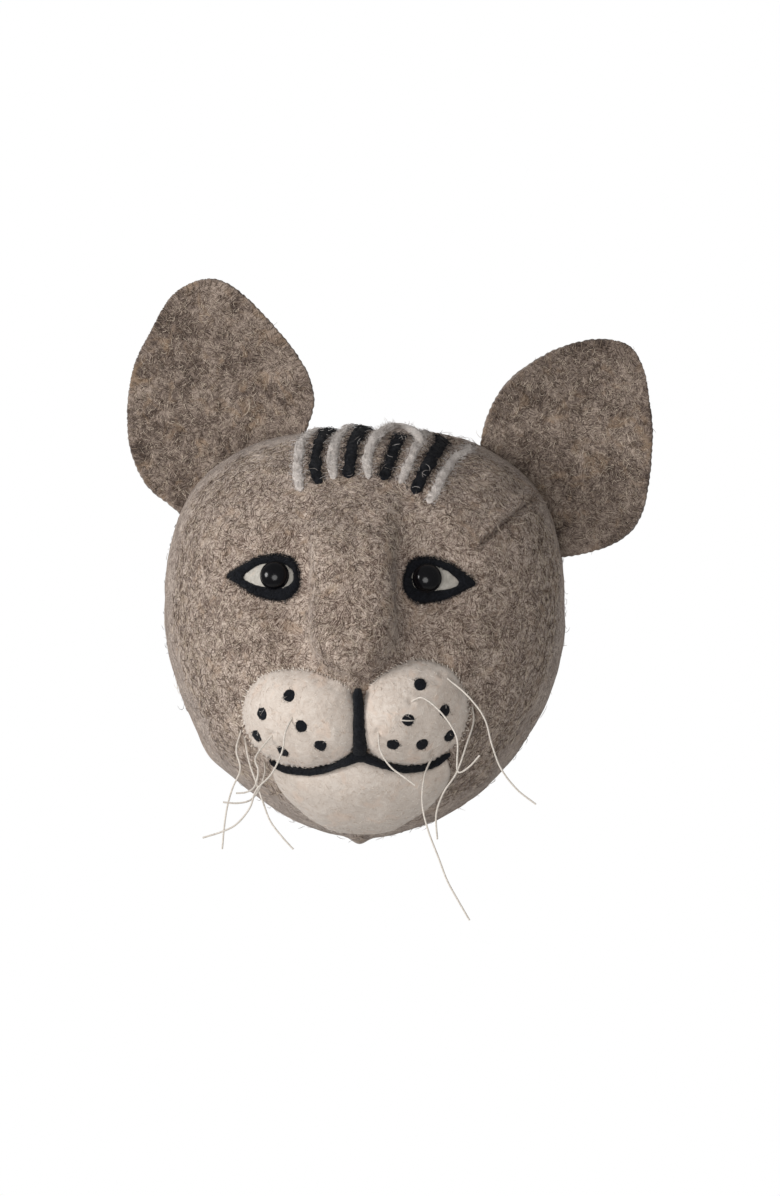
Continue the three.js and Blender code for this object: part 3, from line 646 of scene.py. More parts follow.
LIGHT_HAIRS = hairs("light_hairs", (0.0, srgb(150, 140, 134)), (1.0, srgb(240, 235, 232)))


# ---- the head's surface ----


# The nose's middle line, and the levels between which its tip turns under and its top runs out.
NOSE_X = -4.5
NOSE_TIP = (-29, -13)
NOSE_TOP = (44, 86)


def outline_radius(angle):
    """From the middle of the widest section to its outline, in one direction."""
    up = np.sin(angle) > 0
    power = np.where(up, CROWN_POWER, CHIN_POWER)
    across = np.abs(np.cos(angle)) / HALF_WIDTH
    tall = np.abs(np.sin(angle)) / np.where(up, CROWN_RISE, CHIN_DROP)
    return (across**power + tall**power) ** (-1 / power)


def hill(x, z, centre_x, centre_z, half_width, half_height):
    away = ((x - centre_x) / half_width) ** 2 + ((z - centre_z) / half_height) ** 2
    return np.maximum(1 - away, 0) ** 2


def nose(x, z, steep):
    """The nose, from 0 to 1: a broad roll from the brow down to a tip; steep makes its sides steeper."""
    half_width = mix(4, 21.5, np.clip((z + 28) / 20, 0, 1))
    left = np.clip((NOSE_X - x) / (half_width + 2), 0, 1)
    right = np.clip((x - NOSE_X) / (half_width - 1), 0, 1)
    side = np.sqrt(1 - np.maximum(left ** (steep - 1), right**steep))
    return side * smoothstep(z, *NOSE_TIP) * (1 - smoothstep(z, *NOSE_TOP))


def nose_height(z):
    return mix(19, 10, np.clip((z + 10) / 80, 0, 1))


def relief(x, z):
    """How far the face stands in front of the plain dome: nose, muzzle, cheeks and eye sockets."""
    roll = nose(x, z, 4)
    muzzle = 9 * hill(x, z, -3, -42, 78, 52)
    cheeks = 4 * (hill(x, z, -66, -22, 40, 46) + hill(x, z, 62, -22, 40, 46))
    sockets = sum(6 * hill(x, z, eye["x"], eye["z"], 34, 26) for eye in EYES.values())
    corners = 3 * hill(x, z, -26, 14, 12, 36) + 5 * hill(x, z, 20, 14, 13, 40)
    hollows = 6 * hill(x, z, 27, -4, 20, 28) + 4.5 * hill(x, z, -36, -6, 18, 24)
    return nose_height(z) * roll + muzzle + cheeks - (sockets + corners + hollows) * (1 - 0.9 * roll)


# The relief fades to nothing over this share of the dome's depth, towards the widest section.
RELIEF_FADE = 0.4


def ring_middle(scale):
    """The middle of the dome's ring of a scale, from the foremost point (0) to the widest section (1)."""
    return mix(POLE[0], 0, scale), mix(POLE[1], WIDEST_LEVEL, scale)


def head_points(angle, stretch):
    """Points of the head: the stretch is 0 at the front, 1 at the widest section, 2 at the flat back."""
    front = np.clip(stretch, 0, 1) * np.pi / 2
    behind = np.clip(stretch - 1, 0, 1)
    dome = np.sin(front) ** (2 / DOME_POWER)
    scale = dome * (1 - (1 - BACK_SCALE) * behind**BACK_TAPER_POWER)
    bulge = np.maximum(np.cos(front), 0) ** (2 / DOME_POWER)
    reach = scale * outline_radius(angle)
    middle_x, middle_z = ring_middle(dome)
    x = middle_x + reach * np.cos(angle)
    z = middle_z + reach * np.sin(angle)
    y = -WIDEST_DEPTH * (1 - behind) - DOME_DEPTH * bulge - relief(x, z) * smoothstep(bulge, 0, RELIEF_FADE)
    return np.stack([x, y, z], axis=-1)


def ring_through(x, z):
    """The angle and the scale of the dome's ring through places in the front view."""
    low, high = np.zeros_like(x), np.ones_like(x)
    for _ in range(30):
        scale = (low + high) / 2
        middle_x, middle_z = ring_middle(scale)
        away = np.hypot(x - middle_x, z - middle_z)
        outside = away > scale * outline_radius(np.arctan2(z - middle_z, x - middle_x))
        low = np.where(outside, scale, low)
        high = np.where(outside, high, scale)
    middle_x, middle_z = ring_middle(low)
    return np.arctan2(z - middle_z, x - middle_x), low


def face_y(x, z):
    x, z = np.asarray(x, float), np.asarray(z, float)
    bulge = (1 - ring_through(x, z)[1] ** DOME_POWER) ** (1 / DOME_POWER)
    return -WIDEST_DEPTH - DOME_DEPTH * bulge - relief(x, z) * smoothstep(bulge, 0, RELIEF_FADE)


def near_line(points, a, b, reach):
    """1 on the line from a to b in the front view, fading to 0 away from it."""
    a, b = np.array(a, float), np.array(b, float)
    flat = points[:, [0, 2]]
    share = np.clip(((flat - a) @ (b - a)) / ((b - a) @ (b - a)), 0, 1)
    return bell(np.linalg.norm(flat - (a + share[:, None] * (b - a)), axis=1) / reach)


# ---- outlines on the face, in the front view ----


def outline(points, count=240):
    """A closed curve through the points, anticlockwise."""
    curve = curve_through(points, count, closed=True)
    return curve if area_of(curve) > 0 else curve[::-1]


PADS = {
    "left": outline([
        (-6, -28.5), (-19, -20), (-36, -16.5), (-53, -21), (-61.8, -38),
        (-56, -55), (-42, -65), (-24, -66.8), (-6, -58.5),
    ]),
    "right": outline([
        (0, -28.5), (11, -17.5), (26, -12), (43, -17), (52, -33),
        (49, -51), (36, -62.5), (20, -66), (1.5, -58.5),
    ]),
}
MOUTH = [
    (-47.5, -62.6), (-40, -67), (-28.7, -68.3), (-18.7, -66.9), (-10, -63.4), (-2.5, -60.9),
    (5, -63.4), (15, -66.6), (23.7, -67), (33.7, -64.6), (42.5, -59.4),
]
CHIN_BOTTOM = [
    (-46, -65.5), (-45, -70), (-41, -78), (-30, -89), (-17.5, -97.4), (-2.5, -99.9),
    (12.5, -98), (27.5, -89.3), (37.5, -79), (42, -70.5), (42, -63),
]
ALMOND = outline([
    (-24, 0), (-17.5, 5), (-9.5, 8.8), (1, 10.3), (9, 7.9),
    (11.4, 1), (10.8, -6.6), (3.8, -11.9), (-9.5, -9.3), (-18, -4.3),
])
OPENING = outline([
    (-16.2, -0.7), (-11.3, 4.1), (-5.8, 6.3), (0, 6.6), (5.8, 5.6), (8.9, 1.8),
    (8.7, -2.6), (5.2, -5.6), (0, -6.4), (-5.8, -5.5), (-12.3, -3.7),
])
SPOTS = {
    "left": [(-37.5, -30.5), (-51, -39.5), (-53.5, -50.5), (-31.5, -45.5), (-22, -55), (-40.5, -58)],
    "right": [(27.5, -25), (39.5, -38), (21.5, -42.5), (14, -54.5), (28.5, -54.5), (42, -50.5)],
}
SPOT_RADIUS = 3.1


# Each thread's route in the front view, from its knot on a pad to its cut end, and how far forward
# it hangs.
WHISKERS = {
    "left_whisker_1": ([
        (-61.6, -48), (-64, -58), (-62, -67), (-66, -77),
        (-68.5, -86), (-70, -96), (-71, -107),
    ], -138),
    "left_whisker_2": ([
        (-36, -41), (-39.5, -49), (-41, -58), (-46.5, -69.5), (-54, -77.5),
        (-57, -86), (-64, -94.5), (-71, -98), (-80.5, -101),
    ], -170),
    "left_whisker_3": ([
        (-60, -51), (-57.5, -64), (-54, -74), (-50.5, -84),
        (-47, -93), (-41, -101), (-35.5, -107),
    ], -146),
    "left_whisker_4": ([
        (-46, -50), (-54.5, -62), (-53, -67.5), (-55, -76), (-59, -78.5), (-64, -79),
    ], -158),
    "left_whisker_5": ([
        (-50, -64), (-50, -70), (-52.5, -77), (-57, -82.5), (-63.5, -84), (-70.5, -83.5),
    ], -152),
    "right_whisker_1": ([
        (38.5, -20), (51.5, -31), (59.5, -42), (63, -54.5),
        (67.5, -66.5), (75.5, -77), (85, -84.5),
    ], -164),
    "right_whisker_2": ([
        (23, -33.5), (28.5, -31.5), (37.5, -38.5), (45.5, -51),
        (46.5, -68.5), (52, -65.5), (57, -60),
    ], -178),
    "right_whisker_3": ([
        (53, -34), (54, -43.5), (50.5, -55), (45.5, -69),
        (39, -79), (35.5, -89.5), (36, -102),
    ], -150),
    "right_whisker_4": ([
        (34, -60), (29.5, -71), (28.5, -84), (31, -96),
        (37, -112), (41, -122.5), (46.5, -132.5), (52, -142),
    ], -170),
    "right_whisker_5": ([(6.5, -48.5), (8, -58.5), (13, -66), (19, -70.5), (25, -75)], -174),
}


def within(shape, disc):
    """The unit disc's points spread over an outline, and how far out each lies, from 0 to 1."""
    level = np.hypot(*disc.T)
    share = np.mod(np.arctan2(disc[:, 1], disc[:, 0]) / (2 * np.pi), 1)
    ticks = np.linspace(0, 1, len(shape) + 1)
    edge = np.stack([np.interp(share, ticks, column) for column in looped(shape).T], axis=1)
    middle = shape.mean(axis=0)
    return middle + (edge - middle) * level[:, None], level


def polar(shape, middle, angles):
    """A closed outline's points in given directions from a place inside it."""
    arms = shape - middle
    turn = np.mod(np.arctan2(arms[:, 1], arms[:, 0]), 2 * np.pi)
    order = np.argsort(turn)
    reach = np.interp(angles, turn[order], np.hypot(*arms.T)[order], period=2 * np.pi)
    return middle + np.stack([np.cos(angles), np.sin(angles)], axis=1) * reach[:, None]


LID_COLUMNS = 220


def almond_at(eye, share):
    """An outline round the eye in the front view, from the wool's outer edge (0) to its opening (1)."""
    angles = round_turn(LID_COLUMNS)
    middle = np.zeros(2)
    opening = polar(OPENING, middle, angles)
    opening[:, 0] *= np.where(opening[:, 0] > 0, eye["inner"], 1)
    shape = mix(polar(ALMOND, middle, angles), opening, share)
    across = shape[:, 0] * -eye["outward"]
    c, s = math.cos(-eye["tilt"]), math.sin(-eye["tilt"])
    turned = np.stack([across * c - shape[:, 1] * s, across * s + shape[:, 1] * c], axis=1)
    placed = turned + (eye["x"], eye["z"])
    return placed if eye["outward"] < 0 else placed[::-1]


# ---- the stuffed head ----

HEAD_GRID = 48
FACE, REAR, CAP = 0, 1, 2
REAR_RIM_Y = -BACK_FELT - 0.2


def head_cover():
    """The whole cover as one closed mesh, with its panels marked by material index."""
    disc, faces, rim = square_grid(HEAD_GRID)
    angle = np.arctan2(disc[:, 1], disc[:, 0])
    points = [head_points(angle, np.hypot(disc[:, 0], disc[:, 1]))]
    faces = faces.tolist()
    panels = [FACE] * len(faces)
    ring = rim
    total = len(points[0])
    behind = [*np.linspace(1.0625, SEAM, 4), *np.linspace(1.33, 1.93, 9), 2.0]
    for stretch in behind:
        loop = head_points(angle[rim], np.full(len(rim), stretch))
        after = np.arange(total, total + len(rim))
        total += len(rim)
        faces += between(ring, after)
        panels += [FACE if stretch <= SEAM else REAR] * len(rim)
        points.append(loop)
        ring = after
    points[-1][:, 1] = REAR_RIM_Y
    points.append([[0, REAR_RIM_Y, WIDEST_LEVEL]])
    faces += np.stack([ring, np.full(len(ring), total), np.roll(ring, -1)], axis=1).tolist()
    panels += [CAP] * len(ring)
    return piece("cover", np.vstack(points), faces, GREY_FELT, "grey_felt", panels)


# Creases that the sewing pulls into the felt, each from one place to another in the front view.
DARTS = [((85, 68), (59.5, 46.5)), ((-72, 62.5), (-58, 53.5))]
NOSE_SIDES = [((-29, 44), (-27.5, -8)), ((17, 50), (17.5, -4))]
# Where the felt rises between the stripes' stitches on the crown, and how far.
CROWN_HUMPS = [(-23, 0.8), (-5.5, 1.5), (18, 1.3), (37, 1.0), (50, 0.8)]


def sewn_places(points):
    """Where the cover can't swell: its seam and back, and under what is sewn to the face."""
    x, y, z = points.T
    sewn = y > SEAM_Y - 1.5
    for eye in EYES.values():
        sewn |= np.hypot((x - eye["x"]) / 23, (z - eye["z"]) / 13) < 1
    sewn |= (np.hypot((x + 4) / 58, (z + 52) / 42) < 1) & (y < -90)
    for a, b in [*DARTS, *NOSE_SIDES]:
        sewn |= near_line(points, a, b, 4) > 0.5
    return sewn


# How far each crease or fold stands out, its two ends in the front view, and its half width.
CREASES = [
    (-4.8, *DARTS[0], 1.5),
    (-2.0, *DARTS[1], 1.8),
    (1.6, (83, 71), (60, 50.5), 2.6),
    (-0.8, (-55, 56), (-64, 40), 7),
    (-1.2, (17, 44), (17.5, -2), 2.4),
    (-1.2, (-29, 44), (-28.5, -4), 2.6),
    (-1.7, (-28, -8), (-12, -22), 3.2),
    (-1.7, (14, -8), (5, -22), 3.2),
]


def felt_lumps(points):
    return 0.9 * noise(points, 27, 1) + 0.5 * noise(points, 12, 2) + 0.16 * noise(points, 4.5, 3)


def sewing_creases(points):
    """What the seams and the pulled threads do to the face."""
    x, y, z = points.T
    front = smoothstep(-y, 50, 60)
    pull = sum(depth * near_line(points, a, b, reach) for depth, a, b, reach in CREASES)
    pull += 1.1 * bell((x - 82) / 4, (z - 67) / 3)
    pull -= 3.2 * bell((x - 88) / 7, (z + 44) / 5)
    pull -= 4.3 * bell((x - 46) / 14) * smoothstep(z, 62, 92)
    for middle, rise in CROWN_HUMPS:
        pull += rise * bell((x - middle) / 6) * smoothstep(z, 84, 96)
    pull += 3 * bell((x + 76) / 14, (z + 60) / 14)
    knob = 3.2 * bell((x + 3) / 4.5, (z + 103) / 9, (y + 60) / 16)
    groove = -1.7 * bell((y - SEAM_Y) / 1.5) + 0.7 * bell((y - SEAM_Y) / 5)
    return pull * front + knob + groove


def sharpen_nose(cover):
    """Makes the nose's sides as steep as its sewing does, which the coarse mesh of the cover can't."""
    points = coordinates(cover.data)
    x, y, z = points.T
    extra = 1.05 * nose_height(z) * (nose(x, z, 9) - nose(x, z, 4))
    points[:, 1] -= extra * smoothstep(-y, 90, 110)
    set_coordinates(cover.data, points)


def tree_of(obj):
    return BVHTree.FromPolygons(coordinates(obj.data).tolist(), [p.vertices[:] for p in obj.data.polygons])


def panel_from(cover, panel, name, node):
    """One panel of the cover as a piece of felt with a thickness."""
    mesh = cover.data
    faces = np.array([p.vertices[:] for p in mesh.polygons if p.material_index == panel])
    made = piece(name, *only_used(coordinates(mesh), faces), GREY_FELT, "grey_felt")
    thicken(made, FELT)
    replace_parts(finished(made), node)
    return made


cover = head_cover()
if SIMULATE:
    sewn = sewn_places(coordinates(cover.data))
    displace(cover, lambda points: -1.2 * (1 - sewn))
    simulate(cover, sewn, cap=2.5)
subdivide(cover, 2)
sharpen_nose(cover)
displace(cover, lambda points: felt_lumps(points) + sewing_creases(points))
skin = tree_of(cover)
face_felt = panel_from(cover, FACE, "face_felt", "face_skin")
rear_felt = panel_from(cover, REAR, "rear_felt", "rear_skin")
bpy.data.objects.remove(cover)


IN_FRONT = -400


def cast(tree, x, z):
    """Where lines straight back through places in the front view meet a surface, and its normals there."""
    points, normals = [], []
    for across, up in zip(np.ravel(x), np.ravel(z)):
        hit, normal, _, _ = tree.ray_cast(Vector((across, IN_FRONT, up)), Vector(BACKWARD))
        if hit is None:
            hit, normal, _, _ = tree.find_nearest(Vector((across, SEAM_Y, up)))
        points.append(hit)
        normals.append(normal)
    return np.array(points, float), np.array(normals, float)


# ---- sewing ----


def threads(start, ways, stops):
    """Stitches' paths: each stop says how far along each of the ways it lies from a stitch's start."""
    paths = [start + sum(way * far for way, far in zip(ways, stop)) for stop in stops]
    return np.stack(paths, axis=1)


def edge_ways(along):
    """From directions along an outline in the front view: the ways into it, and the ways along it."""
    return in_space(along[:, ::-1] * (-1, 1)), in_space(along)


def whip_stitches(edge, inward, out, reach, drop):
    """Short threads over an edge: each comes up on the shown side and goes down beyond the edge.
    edge, inward and out are arrays: places on the edge, the way into the piece, and the way out of it."""
    along = unit(np.cross(out, inward))
    rise = STITCH_RADIUS * 0.7
    stops = [(reach, -rise, 0.6), (reach * 0.8, rise, 0.48), (reach * 0.35, rise, 0.18)]
    stops += [(-0.45, -drop * 0.35, -0.18), (-0.5, -drop * 0.7, -0.42), (reach * 0.1, -drop - rise, -0.6)]
    return threads(edge, (inward, out, along), stops), along[:, None]


def stitched(name, groups, material, slot, body="head"):
    """One piece that holds the stitches of several edges."""
    points, faces, total = [], [], 0
    for paths, along in groups:
        made, corners = tubes(paths, along, STITCH_RADIUS, STITCH_RADIUS, 6)
        points.append(made)
        faces += [[v + total for v in face] for face in corners]
        total += len(made)
    return finished(piece(name, np.vstack(points), faces, material, slot), body)


def every(curve, step):
    """Places a step apart on a closed curve, and the directions along it there."""
    count = round(length_of(looped(curve)) / step)
    places = curve_through(curve, count, closed=True)
    return places, unit(np.roll(places, -1, axis=0) - np.roll(places, 1, axis=0))


def sew_down(obj, shape, step, depth):
    """Draws a piece's edge in towards its middle at each stitch, at some more than at others."""
    points = coordinates(obj.data)
    places, _ = every(shape, step)
    flat = points[:, [0, 2]]
    gaps = np.linalg.norm(flat[:, None] - places[None], axis=2)
    uneven = 1 + 0.6 * lattice(np.arange(len(places))[:, None] * np.array([1, 0, 0]), 4)
    pull = depth * uneven[gaps.argmin(axis=1)] * bell(gaps.min(axis=1))
    points[:, [0, 2]] += unit(shape.mean(axis=0) - flat) * pull[:, None]
    set_coordinates(obj.data, points)


# ---- muzzle and chin ----


PAD_EDGE = 2.4
PAD_PUFF = 10.5
PAD_GRID = 26
CHIN_EDGE = 1.6
CHIN_PUFF = 6.5
CORE_VOXEL = 2.5


def patch_mesh(name, shape, count, proud, sunk, material, slot):
    """A closed pad on the face: proud(level) in front of the skin, from rim (1) to middle (0)."""
    disc, faces, rim = square_grid(count)
    flat, level = within(shape, disc)
    base, normals = cast(skin, *flat.T)
    forward = unit(normals + 1.2 * FORWARD)
    front = base + forward * proud(level)[:, None]
    back = base - forward * np.minimum(sunk, 0.4 + 4 * (1 - level))[:, None]
    return two_sided(name, front, back, faces, rim, material, slot)


def rounded_edge(level, thickness):
    return thickness * np.sqrt(np.maximum(1 - level**10, 0))


def pad_profile(level):
    return rounded_edge(level, PAD_EDGE) + PAD_PUFF * np.maximum(1 - level**2, 0) ** 0.75


def puckers(points):
    """The small dents where the whiskers' threads go into the pads."""
    dent = np.zeros(len(points))
    for route, _ in WHISKERS.values():
        away = np.hypot(points[:, 0] - route[0][0], points[:, 2] - route[0][1])
        dent += 0.3 * bell((away - 3) / 1.6) - 0.9 * bell(away / 1.5)
    return dent * (points[:, 1] < -90)


def rim_stitches(tree, shape):
    """The whip stitches that hold a pad's rim to the grey felt, where the mouth's wool leaves them bare."""
    places, along = every(shape, STITCH_STEP)
    wanted = (places[:, 1] > -57) & (np.abs(places[:, 0] + 3) > 4.5)
    places, along = places[wanted], along[wanted]
    base, normals = cast(skin, *places.T)
    inward, _ = edge_ways(along)
    inner = places + inward[:, [0, 2]] * 1.2
    top, _ = cast(tree, *inner.T)
    out = unit(normals + 0.6 * FORWARD)
    height = np.clip(np.einsum("ij,ij->i", top - base, out), 0.5, 4)[:, None]
    edge = base + out * height
    return whip_stitches(edge + inward * 0.5, inward, out, reach=1.5, drop=height + 0.5)


pads = {}
for side, shape in PADS.items():
    pad = patch_mesh(f"{side}_muzzle_felt", shape, PAD_GRID, pad_profile, 2.0, CREAM_FELT, "cream_felt")
    if SIMULATE:
        flat = coordinates(pad.data)[:, [0, 2]]
        half = len(flat) // 2
        gap = np.linalg.norm(flat[:, None] - shape[None, ::4], axis=2).min(axis=1)
        simulate(pad, (gap < 2.2) | (np.arange(len(flat)) >= half), cap=1.6)
    subdivide(pad, 2)
    displace(pad, lambda points: 0.4 * noise(points, 9, 5) + 0.2 * noise(points, 3, 6) + puckers(points))
    sew_down(pad, shape, STITCH_STEP, depth=1.0)
    pads[side] = pad


def chin_mesh():
    """The chin: a plump crescent between the mouth and the lower edge of its felt."""
    columns, rows = 40, 18
    top, bottom = curve_through(MOUTH, columns)[1:-1], curve_through(CHIN_BOTTOM, columns)[1:-1]
    across = np.linspace(-1, 1, columns + 1)[1:-1]
    down = np.linspace(0, 1, rows + 1)
    flat = mix(top[:, None], bottom[:, None], down[None, :, None]).reshape(-1, 2)
    base, normals = cast(skin, *flat.T)
    forward = unit(normals + 1.2 * FORWARD)
    crown = np.maximum(4 * down * (1 - down), 0) ** 0.5
    taper = np.sqrt(1 - np.abs(across) ** 5)
    rise = (CHIN_EDGE * (down < 0.99) + CHIN_PUFF * crown)[None] * taper[:, None]
    front = base + forward * rise.reshape(-1, 1)
    back = base - forward * 1.2
    index = np.arange(len(flat)).reshape(len(across), -1)
    corners = [index[:-1, :-1], index[:-1, 1:], index[1:, 1:], index[1:, :-1]]
    faces = np.stack(corners, axis=-1).reshape(-1, 4)
    rim = np.concatenate([index[0, :-1], index[:-1, -1], index[-1, :0:-1], index[:0:-1, 0]])
    sewn = np.arange(2 * len(flat)) >= len(flat)
    sewn[rim] = True
    return two_sided("chin_felt", front, back, faces, rim, CREAM_FELT, "cream_felt"), sewn


chin, sewn = chin_mesh()
if SIMULATE:
    simulate(chin, sewn, cap=1.5)
subdivide(chin, 2)
displace(chin, lambda points: 0.4 * noise(points, 11, 7) + 0.14 * noise(points, 3, 8))

for side, pad in pads.items():
    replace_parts(finished(pad), f"{side}_muzzle_pad")
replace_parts(finished(chin), "chin_patch")
pad_trees = {side: tree_of(pad) for side, pad in pads.items()}


def keep_under(obj, tree, depth):
    """Moves a piece's points in until they lie a depth below a surface."""
    points = coordinates(obj.data)
    for n, point in enumerate(points):
        near, normal, _, _ = tree.find_nearest(Vector(point))
        high = (Vector(point) - near).dot(normal)
        if high > -depth:
            points[n] -= np.array(normal) * (high + depth)
    set_coordinates(obj.data, points)


def stuffed_core(node, name, cover_tree=None):
    """The loose filling inside a cover: the CAD solid, with the tufts that fibre makes."""
    mesh = nodes[node].data
    points = [v.co / MM for v in mesh.vertices]
    core = piece(name, points, [p.vertices[:] for p in mesh.polygons], FILLING, "filling")
    modifier = core.modifiers.new("even", "REMESH")
    modifier.mode = "VOXEL"
    modifier.voxel_size = CORE_VOXEL * MM
    settle(core)
    displace(core, lambda p: -0.9 + 0.5 * noise(p, 9, 9) + 0.35 * noise(p, 4, 10))
    if cover_tree is not None:
        keep_under(core, cover_tree, FELT + 0.6)
    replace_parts(finished(core), node)


stuffed_core("stuffing", "head_filling", skin)
for side in PADS:
    stuffed_core(f"{side}_muzzle_filling", f"{side}_pad_filling")


# ---- needle-felted wool ----


ROLL_SIDES = 22


def roll(name, path, normals, half_width, height, seed, material, slot, fuzz=1.0):
    """A flattened roll of wool along a path on the felt, its ends rounded off and its edges ragged."""
    count = len(path)
    along = np.linspace(0, 1, count)
    ends = np.sqrt(np.maximum(1 - np.abs(2 * along - 1) ** 14, 0.02))
    ragged = 1 + fuzz * (0.1 * noise(path, 5, seed) + 0.08 * noise(path, 2, seed + 1))
    wide = np.broadcast_to(half_width, count) * ends * ragged
    thick = np.broadcast_to(height, count) * ends
    points, faces = tubes(path[None], normals[None], wide[None], thick[None], ROLL_SIDES)
    outward = unit(points - np.repeat(path, ROLL_SIDES, axis=0))
    rough = 0.28 * noise(points, 2.1, seed) + 0.2 * noise(points, 0.9, seed + 2)
    points += outward * (fuzz * rough)[:, None]
    return piece(name, points, faces, material, slot)


def on_face(flat, lift, forward=False):
    """A path just above the face's felt, from places in the front view."""
    base, normals = cast(skin, *flat.T)
    return base + (FORWARD if forward else normals) * lift, normals


def philtrum():
    flat = curve_through([(-3.6, -27), (-3.2, -38), (-2.8, -48), (-2.5, -61.5)], 60)
    path, normals = on_face(flat, 4.2, forward=True)
    path[:, 1] += 2.0 * smoothstep(np.linspace(0, 1, len(path)), 0.82, 1)
    half_width = mix(2.6, 3.7, np.linspace(0, 1, len(path)) ** 2)
    made = roll("philtrum_wool", path, normals, half_width, 3.0, 20, BLACK_WOOL, "black_wool")
    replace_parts(finished(made), "philtrum")
    return made


def mouth():
    flat = curve_through(MOUTH, 150)
    path, normals = on_face(flat, 4.4, forward=True)
    share = np.linspace(0, 1, len(path))
    half_width = 0.9 + 0.7 * np.sin(np.pi * share) + 1.1 * bell((share - 0.5) / 0.09)
    made = roll("mouth_wool", path, normals, half_width, 2.6, 24, BLACK_WOOL, "black_wool")
    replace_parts(finished(made), "mouth_line")
    return made


# Each stripe: where it runs in the front view, from the forehead up, and its half width. The second of
# each pair is black. The fifth arches over and meets the seventh.
STRIPES = [
    ([(-32, 71.5), (-33.7, 80.5), (-33.2, 91), (-30.6, 98.5), (-25, 101.5)], 2.5),
    ([(-22.7, 75), (-24.8, 82.6), (-24.2, 91), (-21.6, 98), (-18, 102)], 2.8),
    ([(-15.8, 77.3), (-16.4, 88), (-14.8, 96), (-11.6, 101), (-8.5, 102.7)], 2.4),
    ([(-8, 78), (-7.5, 87.8), (-4.8, 97.3), (-1, 102.6)], 3.1),
    ([(1.6, 77.4), (1.0, 86), (2.8, 94.2), (8.4, 100.6), (16.6, 103.2), (24.2, 100.8), (28.4, 95.2)], 2.4),
    ([(9.4, 77.3), (12.5, 86.8), (15.7, 94.6), (18.2, 99)], 2.7),
    ([(17.6, 75.8), (22, 85.7), (26.2, 94), (28.5, 98.5)], 2.1),
    ([(24.8, 71), (29.2, 80.5), (34.2, 88.9), (39, 97)], 3.1),
    ([(31.5, 65.8), (37.4, 76.3), (42.4, 85.7), (46.4, 92), (52, 95)], 2.3),
]
ARCH = 4
ARCH_LIFT = (0, -1.5, 0.8)
ARCH_NORMAL = np.array([0, -0.85, 0.5])


def stripe_path(flat, over):
    """A stripe's way up the forehead and, by the given stretch, over the crown."""
    flat = curve_through(flat, 60)
    angle, scale = ring_through(*flat.T)
    stretch = np.arcsin(np.minimum(scale, 1) ** (DOME_POWER / 2)) / (np.pi / 2)
    path = head_points(angle, stretch)
    if over is None:
        return path
    steps = np.linspace(stretch[-1], over, 12)[1:]
    return np.vstack([path, head_points(np.full(len(steps), angle[-1]), steps)])


def laid_on_skin(path, lift):
    points, normals = [], []
    for point in path:
        hit, normal, _, _ = skin.find_nearest(Vector(point))
        points.append(hit)
        normals.append(normal)
    points, normals = np.array(points, float), np.array(normals, float)
    return points + normals * lift, normals


def stripes():
    made = []
    for n, (flat, half_width) in enumerate(STRIPES):
        black = n % 2 == 1
        height = 1.0 if black else 1.3
        path = stripe_path(flat, None if n in (ARCH, ARCH + 1) else 1.1)
        free = curve_through(path[::4], 90)
        path, normals = laid_on_skin(free, 0.2)
        if n == ARCH:
            share = smoothstep(free[:, 2], 92, 98)[:, None]
            path = mix(path, free * (1, 0, 1) + path * (0, 1, 0) + ARCH_LIFT, share)
            normals = unit(mix(normals, ARCH_NORMAL, share))
        sideways = unit(np.cross(np.gradient(path, axis=0), normals))
        path = path + sideways * (0.4 * noise(path, 9, 30 + n))[:, None]
        name = f"stripe_{n + 1}_wool"
        material, slot = (BLACK_WOOL, "black_wool") if black else (LIGHT_WOOL, "light_wool")
        stripe = roll(name, path, normals, half_width, height, 40 + 3 * n, material, slot, fuzz=1.6)
        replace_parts(finished(stripe), f"stripe_{n + 1}")
        made.append((path, normals, half_width, height, black))
    return made


def spots():
    """Small discs of black wool, needled into the pads, with rough rims."""
    disc, faces, rim = square_grid(14)
    level = np.hypot(*disc.T)[:, None]
    made = []
    for side, places in SPOTS.items():
        for n, (x, z) in enumerate(places):
            centre, normal = cast(pad_trees[side], [x], [z])
            normal = unit(normal + 0.25 * FORWARD)
            side_way = unit(np.cross(normal, (0, 0, 1)))
            up_way = np.cross(side_way, normal)
            seed = 70 + n + (20 if side == "left" else 0)
            spread = disc @ np.vstack([side_way, up_way]) * SPOT_RADIUS
            ragged = 1 + 0.07 * noise(centre + spread, 1.8, seed)
            ragged += 0.05 * noise(centre + spread, 0.8, seed)
            flat = centre + spread * ragged[:, None]
            front = flat + normal * (0.15 + 0.4 * np.sqrt(1 - 0.98 * level**3))
            front += normal * (0.1 * noise(front, 0.7, seed))[:, None]
            back = flat - normal * 0.5
            name = f"{side}_spot_{n + 1}"
            spot = two_sided(f"{name}_wool", front, back, faces, rim, BLACK_WOOL, "black_wool")
            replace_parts(finished(spot), name)
            made.append(spot)
    return made


# ---- eyes ----


def eye_axis(eye):
    """The way that an eye's post points: half as steep as the felt round it."""
    step = 0.5
    x, z = eye["x"], eye["z"]
    slope_x = (face_y(x + step, z) - face_y(x - step, z)) / (2 * step)
    slope_z = (face_y(x, z + step) - face_y(x, z - step)) / (2 * step)
    normal = unit(np.array([slope_x, -1, slope_z]))
    return unit(np.array([normal[0] / 2, -1, normal[2] / 2]))


